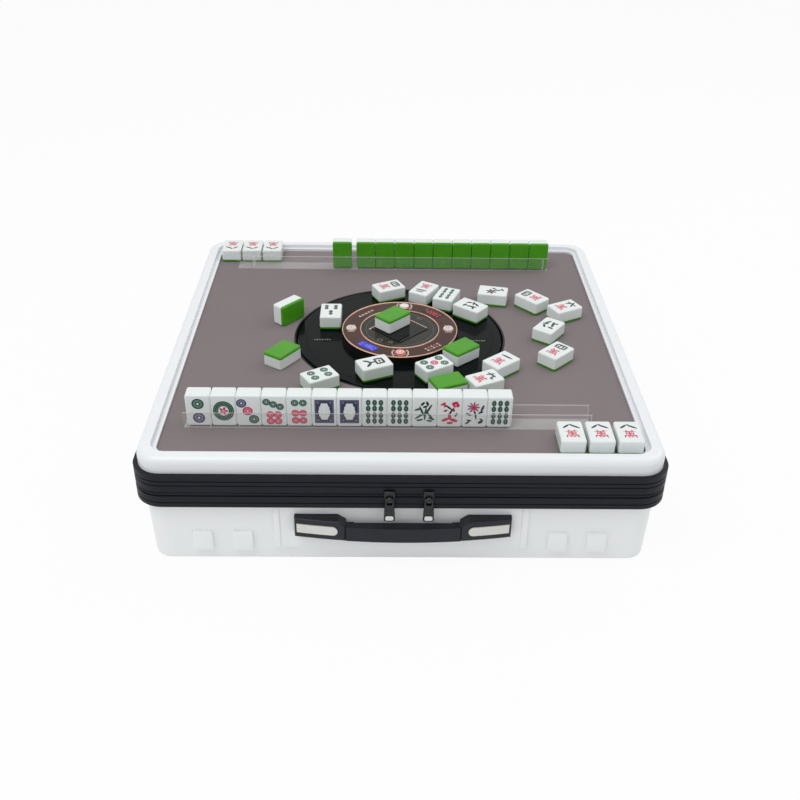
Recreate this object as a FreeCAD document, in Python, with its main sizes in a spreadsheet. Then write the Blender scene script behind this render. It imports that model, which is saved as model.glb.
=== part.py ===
import FreeCAD, Part
import math
import os
import re

import Sketcher
from FreeCAD import Placement, Rotation, Vector

# A portable table for tile games, built into a suitcase.
# X runs to the right, Y away from the player at the handle, Z up.
# The origin is at the centre of the case, on the surface that its feet stand on.

doc = FreeCAD.newDocument("case_table")
sizes = doc.addObject("Spreadsheet::Sheet", "sizes")
workings = doc.addObject("Spreadsheet::Sheet", "workings")

SIZES = (
    ("overrun", 1.0, "how far a cutting shape runs past the face that it cuts"),
    ("slip", 0.3, "gap between pieces that move past each other"),
    ("seat", 0.1, "gap between pieces that are pushed together"),
    ("pivot_slip", 0.06, "radial gap of a pin in its hole"),
    # The case
    ("case_half", 260.0, "half width of the case wall behind the black band"),
    ("wall_lean", 2.5, "how much the case wall leans in down to the underside"),
    ("foot_half", "case_half - wall_lean", "half width of the case at its underside"),
    ("case_corner", 21.5, "upright corner radius of the case wall"),
    ("shell_wall", 3.0, "wall of the case and of the top frame"),
    ("floor_thick", 3.5, "floor of the case"),
    ("taper_top", 74.0, "height at which the case wall turns upright"),
    ("foot_round", 4.0, "rounding round the underside"),
    ("seam_height", 94.0, "height of the zipped seam"),
    ("seam_gap", 0.4, "gap between the two halves at the seam"),
    ("feet_radius", 12.0, "radius of a rubber foot"),
    ("feet_height", 1.5, "height of a rubber foot"),
    ("feet_inset", 34.0, "foot centre in from the edge of the underside"),
    # The panels moulded on the case walls
    ("panel_half", 130.0, "half length of the flat panel behind the handle"),
    ("panel_low", 21.0, "lower edge of that panel"),
    ("panel_high", 76.0, "upper edge of that panel"),
    ("panel_stand", 1.5, "how far the panels stand past the case wall"),
    ("pad_width", 20.0, "width of a small moulded pad"),
    ("pad_low", 16.5, "lower edge of a small pad"),
    ("pad_high", 40.0, "upper edge of a small pad"),
    ("pad_stand", 1.6, "how far the small pads stand past the case wall"),
    ("pad_edge", 57.0, "centre of the outer pads in from the case wall"),
    ("pad_step", 41.0, "from an outer pad to the inner one"),
    ("pad_outer", "case_half - pad_edge", "centre of the outer pads from the middle"),
    ("pad_inner", "pad_outer - pad_step", "centre of the inner pads from the middle"),
    # The band and its zip
    ("band_stand", 8.5, "how far the band stands out of the case wall"),
    ("band_low", 78.1, "lower edge of the band"),
    ("band_high", 116.0, "upper edge of the band"),
    ("tape_stand", 6.9, "how far the zip stands out of the case wall"),
    ("tape_high", 2.3, "height of each half of the zip"),
    ("groove_deep", 0.7, "depth of a groove in the band"),
    ("groove_high", 1.2, "height of a groove in the band"),
    ("groove_first", 7.5, "first groove above the lower edge of the upper band"),
    ("groove_step", 5.0, "height from one groove to the next"),
    ("slider_wide", 11.0, "width of a zip slider"),
    ("slider_high", 13.0, "height of a zip slider"),
    ("slider_thick", 2.9, "thickness of a zip slider"),
    ("bridge_wide", 5.2, "width of the bridge on a slider"),
    ("bridge_high", 7.0, "height of that bridge"),
    ("bridge_deep", 4.2, "depth of that bridge"),
    ("pull_pin", 1.2, "radius of the pin of a zip pull"),
    ("pull_arm", 2.4, "thickness of an arm of a zip pull"),
    ("pull_thick", 2.0, "thickness of a zip pull"),
    ("pull_long", 26.8, "length of a zip pull below its pin"),
    ("pull_left", -12.0, "place of the left slider along the front"),
    ("pull_right", 27.0, "place of the right slider along the front"),
    # The handle
    ("handle_centre", 2.0, "middle of the handle along the front"),
    ("handle_half", 110.0, "half length of the handle"),
    ("handle_block", 44.0, "length of the full part of a handle end"),
    ("handle_nose", 8.0, "length of the sloping nose of a handle end"),
    ("handle_low", 41.0, "lower edge of the handle ends"),
    ("handle_high", 64.8, "upper edge of the handle ends"),
    ("handle_depth", 17.3, "how far the middle of the handle stands out"),
    ("handle_rise", 9.6, "how much further that is than the handle's outer ends"),
    ("handle_round", 2.0, "rounding of the handle ends"),
    ("handle_front", 2.2, "front wall of the hollow handle ends"),
    ("strap_low", 41.5, "lower edge of the grip"),
    ("strap_high", 59.0, "upper edge of the grip"),
    ("strap_back", 6.5, "room for fingers behind the grip"),
    ("tongue_thick", 3.0, "thickness of the tongues of the grip"),
    ("tongue_long", 24.0, "length of the tongues of the grip"),
    ("tongue_edge", 2.0, "how much lower than the grip its tongues are, each side"),
    ("insert_high", 10.6, "height of a silver insert"),
    ("insert_low", 48.3, "lower edge of a silver insert"),
    ("insert_thick", 1.0, "thickness of a silver insert"),
    ("insert_edge", 2.5, "insert in from the outer edge of the handle end"),
    # The top: frame, board, mat and the ring round the well
    ("rim_stand", 3.5, "how far the white rim stands out of the case wall"),
    ("rim_round", 7.0, "rounding of the outer edge of the rim"),
    ("rim_ease", 1.2, "rounding of the inner edge of the rim"),
    ("crown_height", 133.7, "top of the rim"),
    ("ledge_height", 128.7, "top of the ledge inside the rim"),
    ("ledge_wide", 4.6, "width of that ledge"),
    ("mat_height", 126.0, "playing surface"),
    ("frame_wide", 15.0, "playing surface in from the case wall"),
    ("mat_half", "case_half - frame_wide", "half width of the playing surface"),
    ("mat_corner", 11.0, "corner radius of the playing surface"),
    ("mat_thick", 2.0, "thickness of the mat"),
    ("board_thick", 8.0, "thickness of the board under the mat"),
    ("board_screw_edge", 4.0, "board screws in from the inside of the frame"),
    ("board_screw_step", 160.0, "distance between board screws"),
    ("board_screw_grip", 5.0, "how far the board screws go into the frame"),
    ("disc_radius", 122.0, "outer radius of the black disc"),
    ("disc_gap", 2.0, "gap round the disc, which the opening top needs"),
    ("well_wall", 2.0, "wall of the ring that lines the well"),
    ("well_lip", 5.0, "lip of that ring under the board"),
    ("well_lip_thick", 3.0, "thickness of that lip"),
    # The lifting centre
    ("lift_travel", 40.0, "how far the centre rises"),
    ("disc_height", 127.0, "top of the black disc"),
    ("disc_thick", 5.0, "thickness of the disc and its rim"),
    ("disc_rim", 10.0, "width of the rim round the disc"),
    ("carrier_thick", 4.0, "thickness of the carrier under the disc"),
    ("carrier_lap", 6.0, "how far the carrier reaches under the rim"),
    ("console_radius", 70.0, "outer radius of the console"),
    ("console_high", 9.0, "height of the console"),
    ("console_draft", 1.0, "how much the console wall leans in"),
    ("console_wall", 2.0, "wall of the console"),
    ("dial_radius", 46.0, "radius of the dial inside the console"),
    ("dial_wall", 3.0, "wall round the dial"),
    ("dial_thick", 2.0, "thickness of the dial glass"),
    ("dial_sink", 0.5, "how far the dial lies below the console"),
    ("bezel_wide", 1.5, "width of the metal rings on the console"),
    ("bezel_high", 0.8, "height of the metal rings on the console"),
    ("window_half", 24.0, "half side of the square window"),
    ("window_thick", 0.8, "thickness of that window"),
    ("button_ring", 58.0, "distance of the buttons from the centre"),
    ("button_radius", 5.6, "radius of a button"),
    ("button_stand", 1.5, "how far a button stands up"),
    ("button_flange", 1.4, "width and thickness of the flange that keeps a button in"),
    ("button_travel", 1.0, "how far a button can be pressed"),
    ("display_ring", 57.0, "distance of the displays from the centre"),
    ("display_long", 26.0, "length of a display"),
    ("display_wide", 11.0, "width of a display"),
    ("display_deep", 1.0, "how deep a display is let in"),
    ("display_stand", 0.2, "how far a display stands up"),
    ("circuit_thick", 1.6, "thickness of a circuit board"),
    ("circuit_edge", 2.0, "circuit ring in from the walls of the console"),
    # The column, its screw and its motor
    ("chassis_height", 12.0, "underside of the steel chassis"),
    ("chassis_thick", 2.0, "thickness of the chassis"),
    ("chassis_edge", 35.0, "edge of the chassis in from the case wall"),
    ("chassis_half", "case_half - chassis_edge", "half width of the chassis"),
    ("boss_radius", 5.0, "radius of a screw boss in the case"),
    ("boss_edge", 20.0, "screw bosses in from the edge of the chassis"),
    ("boss_spread", "chassis_half - boss_edge", "screw bosses from the middle"),
    ("screw_radius", 1.75, "radius of a small screw"),
    ("screw_head", 3.6, "radius of its head"),
    ("screw_head_high", 2.2, "height of its head"),
    ("screw_slip", 0.15, "radial gap round a screw"),
    ("post_radius", 23.0, "outer radius of the fixed post"),
    ("post_wall", 3.5, "wall of the fixed post"),
    ("post_high", 98.0, "top of the fixed post"),
    ("post_foot", 40.0, "radius of the foot of the post"),
    ("post_foot_thick", 2.0, "thickness of the foot of the post"),
    ("post_collar", 4.0, "width of the collar under the bearing"),
    ("key_wide", 3.0, "width of the key that stops the lift turning"),
    ("key_high", 20.0, "height of that key"),
    ("tube_low", 40.0, "lower end of the lifting tube"),
    ("tube_wall", 3.2, "wall of the lifting tube"),
    ("tube_gap", 2.0, "space between the tube and the carrier's socket floor"),
    ("nut_low", 60.0, "lower face of the nut in the tube"),
    ("nut_high", 12.0, "height of that nut"),
    ("socket_wall", 4.5, "wall of the carrier's socket"),
    ("socket_high", 12.0, "height of that socket"),
    ("lift_screw_radius", 4.0, "radius of the lifting screw"),
    ("lift_motor_radius", 13.0, "radius of the lift motor"),
    ("lift_motor_high", 34.0, "height of the lift motor"),
    # The shuffling bowl and its turntable
    ("bowl_edge", 75.0, "inside of the shuffling bowl in from the case wall"),
    ("bowl_radius", "case_half - bowl_edge", "inner radius of the shuffling bowl"),
    ("bowl_wall", 3.0, "wall of the bowl"),
    ("bowl_floor", 33.0, "underside of the bowl"),
    ("bowl_high", 107.0, "top of the bowl"),
    ("bowl_flange", 11.0, "flange round the top of the bowl"),
    ("bowl_hole", 50.0, "radius of the hole in the floor of the bowl"),
    ("bowl_leg", 6.0, "radius of a leg of the bowl"),
    ("bowl_leg_edge", 35.0, "legs in from the inside of the bowl"),
    ("bowl_leg_ring", "bowl_radius - bowl_leg_edge", "distance of the legs from the centre"),
    ("turntable_gap", 7.0, "gap round the turntable"),
    ("turntable_radius", "bowl_radius - turntable_gap", "radius of the turntable"),
    ("turntable_low", 40.0, "underside of the turntable"),
    ("turntable_thick", 3.0, "thickness of the turntable"),
    ("cone_radius", 62.0, "radius of the foot of the centre cone"),
    ("cone_top", 40.0, "radius of the top of the centre cone"),
    ("cone_high", 58.0, "top of the centre cone"),
    ("bore_slip", 1.0, "gap between the turning parts and the post"),
    ("paddle_start", 78.0, "inner end of a stirring rib"),
    ("paddle_edge", 12.0, "outer end of a stirring rib in from the turntable's edge"),
    ("paddle_long", "turntable_radius - paddle_edge - paddle_start", "length of a stirring rib"),
    ("paddle_wide", 8.0, "width of a stirring rib"),
    ("paddle_high", 9.0, "height of a stirring rib"),
    ("bearing_radius", 34.0, "outer radius of the turntable bearing"),
    ("bearing_high", 9.0, "height of the turntable bearing"),
    ("race_lap", 4.0, "width of the shoulder on the outer race"),
    ("hub_neck", 42.0, "radius of the neck of the turntable hub"),
    ("pulley_radius", 45.0, "belt radius of the turntable hub"),
    ("pulley_flange", 3.0, "flange of the pulleys"),
    ("pulley_flange_thick", 1.5, "thickness of that flange"),
    ("belt_high", 7.0, "height of the belt"),
    ("belt_thick", 1.5, "thickness of the belt"),
    ("motor_pulley_radius", 10.0, "belt radius of the motor pulley"),
    ("motor_radius", 18.0, "radius of the drive motor"),
    ("motor_gap", 1.0, "gap between the drive motor and the flange of the bowl"),
    (
        "motor_place", "(bowl_radius + bowl_flange + motor_radius + motor_gap) / sqrt(2)",
        "motor to the left and to the front of the centre",
    ),
    ("motor_high", 54.0, "height of the drive motor"),
    ("motor_shaft", 3.0, "radius of the motor shaft"),
    ("bracket_side", 50.0, "side of the motor bracket"),
    ("bracket_high", 20.0, "height of the motor bracket"),
    ("bracket_thick", 3.0, "thickness of the motor bracket"),
    # Power and control
    ("supply_long", 95.0, "length of the power supply"),
    ("supply_edge", 25.0, "power supply in from the right edge of the chassis"),
    ("supply_wide", 60.0, "width of the power supply"),
    ("supply_high", 34.0, "height of the power supply"),
    ("supply_gap", 7.5, "gap between the bowl and the power supply"),
    ("supply_left", "chassis_half - supply_edge - supply_long", "left end of the power supply"),
    (
        "supply_front",
        "max(chassis_half - supply_wide; sqrt((bowl_radius + bowl_wall + supply_gap)^2 - supply_left^2))",
        "front of the power supply, from the middle",
    ),
    ("supply_round", 2.0, "rounding of the power supply"),
    ("stand_off", 4.0, "embossed seats under the control board"),
    ("chip_side", 16.0, "side of the main chip"),
    ("chip_high", 2.5, "height of the main chip"),
    ("can_radius", 6.0, "radius of a capacitor"),
    ("can_high", 16.0, "height of a capacitor"),
    ("plug_long", 12.0, "length of a plug on the loom"),
    ("plug_high", 12.0, "height of a plug on the loom"),
    ("loom_radius", 3.0, "radius of the cable loom"),
    ("loom_bend", 15.0, "radius of the bends of the loom"),
    ("inlet_side", 88.0, "middle of the power inlet in from the case wall"),
    ("inlet_centre", "case_half - inlet_side", "middle of the power inlet along the back"),
    ("inlet_height", 38.0, "height of the middle of the power inlet"),
    ("inlet_long", 56.0, "length of the inlet's flange"),
    ("inlet_high", 30.0, "height of the inlet's flange"),
    ("inlet_flange", 2.0, "thickness of the inlet's flange"),
    ("inlet_edge", 3.0, "flange past the body of the inlet"),
    ("inlet_deep", 22.0, "depth of the body of the inlet"),
    ("socket_long", 20.0, "length of the socket"),
    ("socket_tall", 14.0, "height of the socket"),
    ("socket_deep", 15.0, "depth of the socket"),
    ("blade_long", 4.0, "width of a blade in the socket"),
    ("blade_thick", 2.0, "thickness of a blade in the socket"),
    ("blade_out", 12.0, "length of a blade in the socket"),
    ("rocker_wide", 13.6, "width of the rocker of the switch"),
    ("rocker_half", 9.0, "half height of the rocker"),
    ("rocker_face", 3.0, "rocker face from its pivot"),
    ("rocker_lean", 2.2, "how far the raised half of the rocker leans out"),
    ("rocker_pin", 1.0, "radius of the rocker's pin"),
    ("rocker_pin_long", 1.5, "how far that pin reaches into the inlet"),
    ("rocker_room", 1.0, "room above and below the rocker"),
    ("rear_panel_half", 40.0, "half length of the flat panel round the inlet"),
    # The hinges of the top
    ("hinge_back", 4.5, "hinge pin behind the band"),
    ("hinge_edge", 110.0, "hinges in from the case wall"),
    ("hinge_spread", "case_half - hinge_edge", "hinges from the middle"),
    ("hinge_long", 44.0, "length of a hinge"),
    ("hinge_barrel", 3.4, "radius of a hinge barrel"),
    ("hinge_pin", 1.5, "radius of a hinge pin"),
    ("leaf_thick", 1.0, "thickness of a hinge leaf"),
    ("leaf_low", 80.5, "lower edge of the case leaf"),
    ("leaf_high", 113.0, "upper edge of the top's leaf"),
    # Tiles and racks
    ("tile_long", 37.0, "length of a tile"),
    ("tile_wide", 25.7, "width of a tile"),
    ("tile_thick", 17.0, "thickness of a tile"),
    ("tile_back", 3.4, "thickness of the coloured back of a tile"),
    ("tile_corner", 2.5, "upright corner radius of a tile"),
    ("tile_round", 1.8, "rounding of the faces of a tile"),
    ("rack_short", 70.0, "how much shorter a rack is than the playing surface"),
    ("rack_long", "mat_half * 2 - rack_short", "length of a rack"),
    ("rack_wall", 1.2, "wall of a rack"),
    ("rack_high", 18.0, "height of a rack"),
    ("rack_room", 0.25, "room in front of and behind the tiles in a rack"),
    ("front_rack_back", 47.1, "outside of the front rack in from the mat's edge"),
    ("rear_rack_back", 39.3, "outside of the rear rack in from the mat's edge"),
    ("front_rack_start", 21.0, "left end of the front rack in from the mat's edge"),
    ("rear_rack_start", 28.0, "left end of the rear rack in from the mat's edge"),
    ("rear_row_end", 1.0, "right end of the rear row in from its rack's end"),
    ("rear_row_step", 25.9, "from one tile of the rear row to the next"),
    ("front_row_start", 3.5, "from the left end of the front rack to its first tile"),
    ("rear_row_gap", 6.0, "gap after the first tile of the rear row"),
    ("trio_step", 29.0, "from one tile of the front corner to the next"),
    ("trio_edge", 3.7, "tiles of the corners in from the left or right of the mat"),
    ("rear_trio_step", 27.6, "from one tile of the rear corner to the next"),
    ("trio_gap", 1.8, "tiles of the corners in from the front or back of the mat"),
)

for row, (alias, value, meaning) in enumerate(SIZES, 1):
    sizes.set("A%d" % row, meaning)
    sizes.set("B%d" % row, "=" + value if isinstance(value, str) else str(value))
    sizes.setAlias("B%d" % row, alias)
doc.recompute()
ALIASES = {alias for alias, value, meaning in SIZES}
NODES = []

# Angles, and counts
FRONT_ROW_TILES = 13
REAR_ROW_TILES = 11
STIRRING_RIBS = 4
DISPLAY_ANGLES = (-131, 45)
BUTTONS = (("front_button", -90), ("right_button", 0), ("back_button", 84), ("left_button", 180))

# Loose tiles: azimuth round the centre, turn of the long side, how the tile lies, and the share
# of the way out over the disc (from the console to the disc's edge) or over the mat (from the
# well to the edge of the mat)
DISC_TILE_SHARES = (
    (159.6, 90, "face", 0.367),
    (71.5, 60, "face", 0.568),
    (52.9, 68, "face", 0.559),
    (29.0, -39, "face", 0.588),
    (-37.6, 41, "back", 0.354),
    (-68.0, 32, "face", 0.582),
    (-107.7, 24, "face", 0.519),
    (97.6, 26, "face", 0.607),
)
MAT_TILE_SHARES = (
    (37.3, 168.5, "face", 0.203),
    (-36.2, 40, "face", 0.123),
    (-53.1, 27, "face", 0.222),
    (-68.0, 23, "back", 0.092),
    (-127.2, 31, "face", 0.175),
    (-155.3, 55, "back", 0.186),
    (24.3, 131.6, "face", 0.484),
    (13.6, 28, "face", 0.714),
    (-0.3, 54, "face", 0.439),
    (-18.7, 45, "face", 0.525),
    (163.8, 49, "edge", 0.126),
)
WINDOW_TILE_SHARES = (-0.36, 0.28)
WINDOW_TILE_TURN = 46


def bound(formula):
    """Write a formula of size names as the document's expression."""
    return re.sub(
        r"[a-z][a-z_]*",
        lambda word: "sizes." + word.group() if word.group() in ALIASES else word.group(),
        formula,
    )


def size(formula):
    """Work a formula of size names out to a number."""
    workings.set("A1", "=" + bound(formula))
    workings.recompute()
    return float(workings.get("A1"))


def bind(thing, **formulas):
    """Bind a thing's sizes to formulas of size names."""
    for name, formula in formulas.items():
        thing.setExpression(name, bound(formula))
    return thing


def put(thing, x="0", y="0", z="0", turn=None, path="Placement"):
    """Place a thing, with its position bound to formulas."""
    if turn is not None:
        setattr(thing, path, Placement(Vector(), turn))
    for axis, formula in zip("xyz", (x, y, z)):
        thing.setExpression("%s.Base.%s" % (path, axis), bound(formula))
    return thing


def about_z(angle):
    return Rotation(Vector(0, 0, 1), angle)


ALONG_X = Rotation(Vector(0, 1, 0), 90)
ALONG_Y = Rotation(Vector(1, 0, 0), -90)


# Plain solids and the ways to join them

def box(name, length, width, height, x="0", y="0", z="0", turn=None):
    """A box whose lowest corner is at the place given."""
    solid = doc.addObject("Part::Box", name)
    bind(solid, Length=length, Width=width, Height=height)
    return put(solid, x, y, z, turn)


def block(name, length, width, height, x="0", y="0", z="0", angle=0):
    """A box that stands on its middle, turned about Z."""
    across = math.cos(math.radians(angle))
    along = math.sin(math.radians(angle))
    shift_x = "%s - (%.9f) * (%s) / 2 + (%.9f) * (%s) / 2" % (x, across, length, along, width)
    shift_y = "%s - (%.9f) * (%s) / 2 - (%.9f) * (%s) / 2" % (y, along, length, across, width)
    return box(name, length, width, height, shift_x, shift_y, z, about_z(angle))


def cylinder(name, radius, height, x="0", y="0", z="0", turn=None):
    solid = doc.addObject("Part::Cylinder", name)
    bind(solid, Radius=radius, Height=height)
    return put(solid, x, y, z, turn)


def fuse(name, *parts):
    joined = doc.addObject("Part::MultiFuse", name)
    joined.Shapes = list(parts)
    return joined


def cut(name, base, *tools):
    left = doc.addObject("Part::Cut", name)
    left.Base = base
    left.Tool = tools[0] if len(tools) == 1 else fuse(name + "_tools", *tools)
    return left


def group(name, parts):
    """Separate like solids that share one name."""
    together = doc.addObject("Part::Compound", name)
    together.Links = list(parts)
    return together


def node(thing):
    """Count a finished piece among those that are handed in."""
    NODES.append(thing)
    return thing


# Bodies drawn with sketches

def plane(body, role):
    for feature in body.Origin.OriginFeatures:
        if feature.Role == role:
            return feature
    raise ValueError(role)


def sketch(body, name, role, offset="0"):
    drawing = body.newObject("Sketcher::SketchObject", name)
    drawing.AttachmentSupport = [(plane(body, role), "")]
    drawing.MapMode = "FlatFace"
    drawing.setExpression("AttachmentOffset.Base.z", bound(offset))
    return drawing


def datum(drawing, formula, *constraint):
    """Add a dimension to a sketch and bind it to a formula."""
    number = drawing.addConstraint(Sketcher.Constraint(*constraint, size(formula)))
    drawing.setExpression("Constraints[%d]" % number, bound(formula))


def rounded_rectangle(body, name, half_x, half_y, corner, level):
    """A rectangle round the origin with round corners, at a height."""
    drawing = sketch(body, name, "XY_Plane", level)
    reach_x = size(half_x)
    reach_y = size(half_y)
    radius = size(corner)
    for turn in range(4):
        along, across = (reach_x, reach_y) if turn % 2 == 0 else (reach_y, reach_x)
        spin = about_z(90 * turn)
        start = spin.multVec(Vector(radius - along, -across, 0))
        end = spin.multVec(Vector(along - radius, -across, 0))
        centre = spin.multVec(Vector(along - radius, radius - across, 0))
        drawing.addGeometry(Part.LineSegment(start, end))
        circle = Part.Circle(centre, Vector(0, 0, 1), radius)
        first = math.radians(90 * (turn - 1))
        drawing.addGeometry(Part.ArcOfCircle(circle, first, first + math.pi / 2))
    for turn in range(4):
        line = 2 * turn
        arc = line + 1
        drawing.addConstraint(Sketcher.Constraint("Tangent", line, 2, arc, 1))
        drawing.addConstraint(Sketcher.Constraint("Tangent", arc, 2, (line + 2) % 8, 1))
        drawing.addConstraint(Sketcher.Constraint("Vertical" if turn % 2 else "Horizontal", line))
        if turn:
            drawing.addConstraint(Sketcher.Constraint("Equal", 1, arc))
    datum(drawing, corner, "Radius", 1)
    datum(drawing, half_y, "DistanceY", 0, 1, -1, 1)
    datum(drawing, half_x, "DistanceX", -1, 1, 2, 1)
    datum(drawing, half_y, "DistanceY", -1, 1, 4, 1)
    datum(drawing, half_x, "DistanceX", 6, 1, -1, 1)
    return drawing


def outline(body, name, role, points, offset="0"):
    """A closed outline of straight lines through points given as formulas."""
    drawing = sketch(body, name, role, offset)
    corners = [Vector(size(across), size(up), 0) for across, up in points]
    for index, corner in enumerate(corners):
        drawing.addGeometry(Part.LineSegment(corner, corners[(index + 1) % len(corners)]))
    for index, (across, up) in enumerate(points):
        following = (index + 1) % len(points)
        drawing.addConstraint(Sketcher.Constraint("Coincident", index, 2, following, 1))
        datum(drawing, across, "DistanceX", -1, 1, index, 1)
        datum(drawing, up, "DistanceY", -1, 1, index, 1)
    return drawing


def pad(body, name, drawing, length, kind="Pad"):
    feature = body.newObject("PartDesign::" + kind, name)
    feature.Profile = drawing
    return bind(feature, Length=length)


def loft(body, name, first, second, kind="AdditiveLoft"):
    feature = body.newObject("PartDesign::" + kind, name)
    feature.Profile = first
    feature.Sections = [second]
    return feature


def body_solid(body, name, kind, x, y, z, **formulas):
    """A box or cylinder added to a body or taken from it."""
    feature = body.newObject("PartDesign::" + kind, name)
    feature.AttachmentSupport = [(plane(body, "XY_Plane"), "")]
    feature.MapMode = "FlatFace"
    bind(feature, **formulas)
    return put(feature, x, y, z, path="AttachmentOffset")


def edges_where(feature, test):
    """Names of a feature's edges whose ends and middle all pass a test."""
    names = []
    for number, edge in enumerate(feature.Shape.Edges, 1):
        middle = edge.valueAt((edge.FirstParameter + edge.LastParameter) / 2)
        points = [vertex.Point for vertex in edge.Vertexes] + [middle]
        if all(test(point) for point in points):
            names.append("Edge%d" % number)
    return names


def fillet(body, name, base, radius, test):
    doc.recompute()
    feature = body.newObject("PartDesign::Fillet", name)
    feature.Base = (base, edges_where(base, test))
    return bind(feature, Radius=radius)


def at_height(formula):
    level = size(formula)
    return lambda point: abs(point.z - level) < size("seat") / 2


def slab(name, half_x, half_y, corner, low, high):
    """A rounded rectangular plate between two heights."""
    body = doc.addObject("PartDesign::Body", name)
    drawing = rounded_rectangle(body, name + "_outline", half_x, half_y, corner, low)
    pad(body, name + "_pad", drawing, "(%s) - (%s)" % (high, low))
    return body


def ring_slab(name, half_out, corner_out, half_in, corner_in, low, high):
    """A rounded square ring between two heights."""
    body = slab(name, half_out, half_out, corner_out, low, high)
    drawing = rounded_rectangle(body, name + "_opening", half_in, half_in, corner_in, high)
    pad(body, name + "_pocket", drawing, "(%s) - (%s) + overrun" % (high, low), "Pocket")
    return body


def turned(name, points):
    """A piece turned about Z: its outline is given as radius and height."""
    body = doc.addObject("PartDesign::Body", name)
    drawing = outline(body, name + "_outline", "XZ_Plane", points)
    feature = body.newObject("PartDesign::Revolution", name + "_turn")
    feature.Profile = drawing
    feature.ReferenceAxis = (drawing, ["V_Axis"])
    feature.Angle = 360
    return body


def spread(radius, angle):
    """Formulas of a place at an angle round the centre."""
    turn = math.radians(angle)
    return "(%s) * (%.9f)" % (radius, math.cos(turn)), "(%s) * (%.9f)" % (radius, math.sin(turn))


# The case

FLOOR_TOP = "feet_height + floor_thick"
PANEL_FACE = "case_half + panel_stand"
CHASSIS_TOP = "chassis_height + chassis_thick"
WALL_TOP = "seam_height - seam_gap / 2"
TOP_START = "seam_height + seam_gap / 2"


def wall_half(height):
    """Half width of the tapering case wall at a height."""
    share = "((%s) - feet_height) / (taper_top - feet_height)" % height
    return "foot_half + (case_half - foot_half) * %s" % share


def chassis_screw_places():
    for column in (-1, 0, 1):
        for line in (-1, 0, 1):
            if column or line:
                yield "boss_spread * (%d)" % column, "boss_spread * (%d)" % line


def lower_shell():
    body = doc.addObject("PartDesign::Body", "lower_shell")
    foot_corner = "case_corner - (case_half - foot_half)"
    foot = rounded_rectangle(body, "shell_foot", "foot_half", "foot_half", foot_corner, "feet_height")
    seat = rounded_rectangle(body, "shell_seat", "case_half", "case_half", "case_corner", "taper_top")
    outside = loft(body, "shell_taper", foot, seat)
    rounded = fillet(body, "shell_round", outside, "foot_round", at_height("feet_height"))
    skirt = rounded_rectangle(body, "shell_skirt", "case_half", "case_half", "case_corner", "taper_top")
    pad(body, "shell_upright", skirt, "%s - taper_top" % WALL_TOP)
    deep = "%s - foot_half + shell_wall" % PANEL_FACE
    body_solid(
        body, "front_panel", "AdditiveBox", "-panel_half", "-(%s)" % PANEL_FACE, "panel_low",
        Length="panel_half * 2", Width=deep, Height="panel_high - panel_low",
    )
    for number, middle in enumerate(("-pad_outer", "-pad_inner", "pad_inner", "pad_outer")):
        body_solid(
            body, "front_pad_%d" % number, "AdditiveBox",
            "%s - pad_width / 2" % middle, "-(case_half + pad_stand)", "pad_low",
            Length="pad_width", Width="pad_stand + wall_lean + shell_wall / 2",
            Height="pad_high - pad_low",
        )
    body_solid(
        body, "rear_panel", "AdditiveBox",
        "inlet_centre - rear_panel_half", "foot_half - shell_wall", "panel_low",
        Length="rear_panel_half * 2", Width=deep, Height="panel_high - panel_low",
    )
    inner_low = "%s - shell_wall" % wall_half(FLOOR_TOP)
    inner_foot = rounded_rectangle(
        body, "hollow_foot", inner_low, inner_low, foot_corner + " - shell_wall", FLOOR_TOP)
    inner_seat = rounded_rectangle(
        body, "hollow_seat", "case_half - shell_wall", "case_half - shell_wall",
        "case_corner - shell_wall", "taper_top")
    hollow = loft(body, "hollow_taper", inner_foot, inner_seat, "SubtractiveLoft")
    mouth = rounded_rectangle(
        body, "hollow_mouth", "case_half - shell_wall", "case_half - shell_wall",
        "case_corner - shell_wall", WALL_TOP)
    upright = pad(body, "hollow_upright", mouth, "%s - taper_top" % WALL_TOP, "Pocket")
    fillet(body, "hollow_round", upright, "foot_round - shell_wall", at_height(FLOOR_TOP))
    for number, (x, y) in enumerate(chassis_screw_places()):
        body_solid(
            body, "boss_%d" % number, "AdditiveCylinder", x, y, "feet_height + floor_thick / 2",
            Radius="boss_radius", Height="chassis_height - feet_height - floor_thick / 2",
        )
        body_solid(
            body, "boss_hole_%d" % number, "SubtractiveCylinder", x, y, FLOOR_TOP,
            Radius="screw_radius + screw_slip", Height="chassis_height - floor_thick",
        )
    body_solid(
        body, "inlet_hole", "SubtractiveBox",
        "inlet_centre - inlet_long / 2 + inlet_edge - seat", "foot_half - inlet_deep",
        "inlet_height - inlet_high / 2 + inlet_edge - seat",
        Length="inlet_long - inlet_edge * 2 + seat * 2", Width="inlet_deep * 2",
        Height="inlet_high - inlet_edge * 2 + seat * 2",
    )
    return node(body)


def rubber_feet():
    feet = [cylinder("foot_0", "feet_radius", "feet_height")]
    for number, angle in enumerate((45, 135, 225, 315), 1):
        x, y = spread("(foot_half - feet_inset) * sqrt(2)", angle)
        feet.append(cylinder("foot_%d" % number, "feet_radius", "feet_height", x, y))
    return node(group("rubber_feet", feet))


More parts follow.
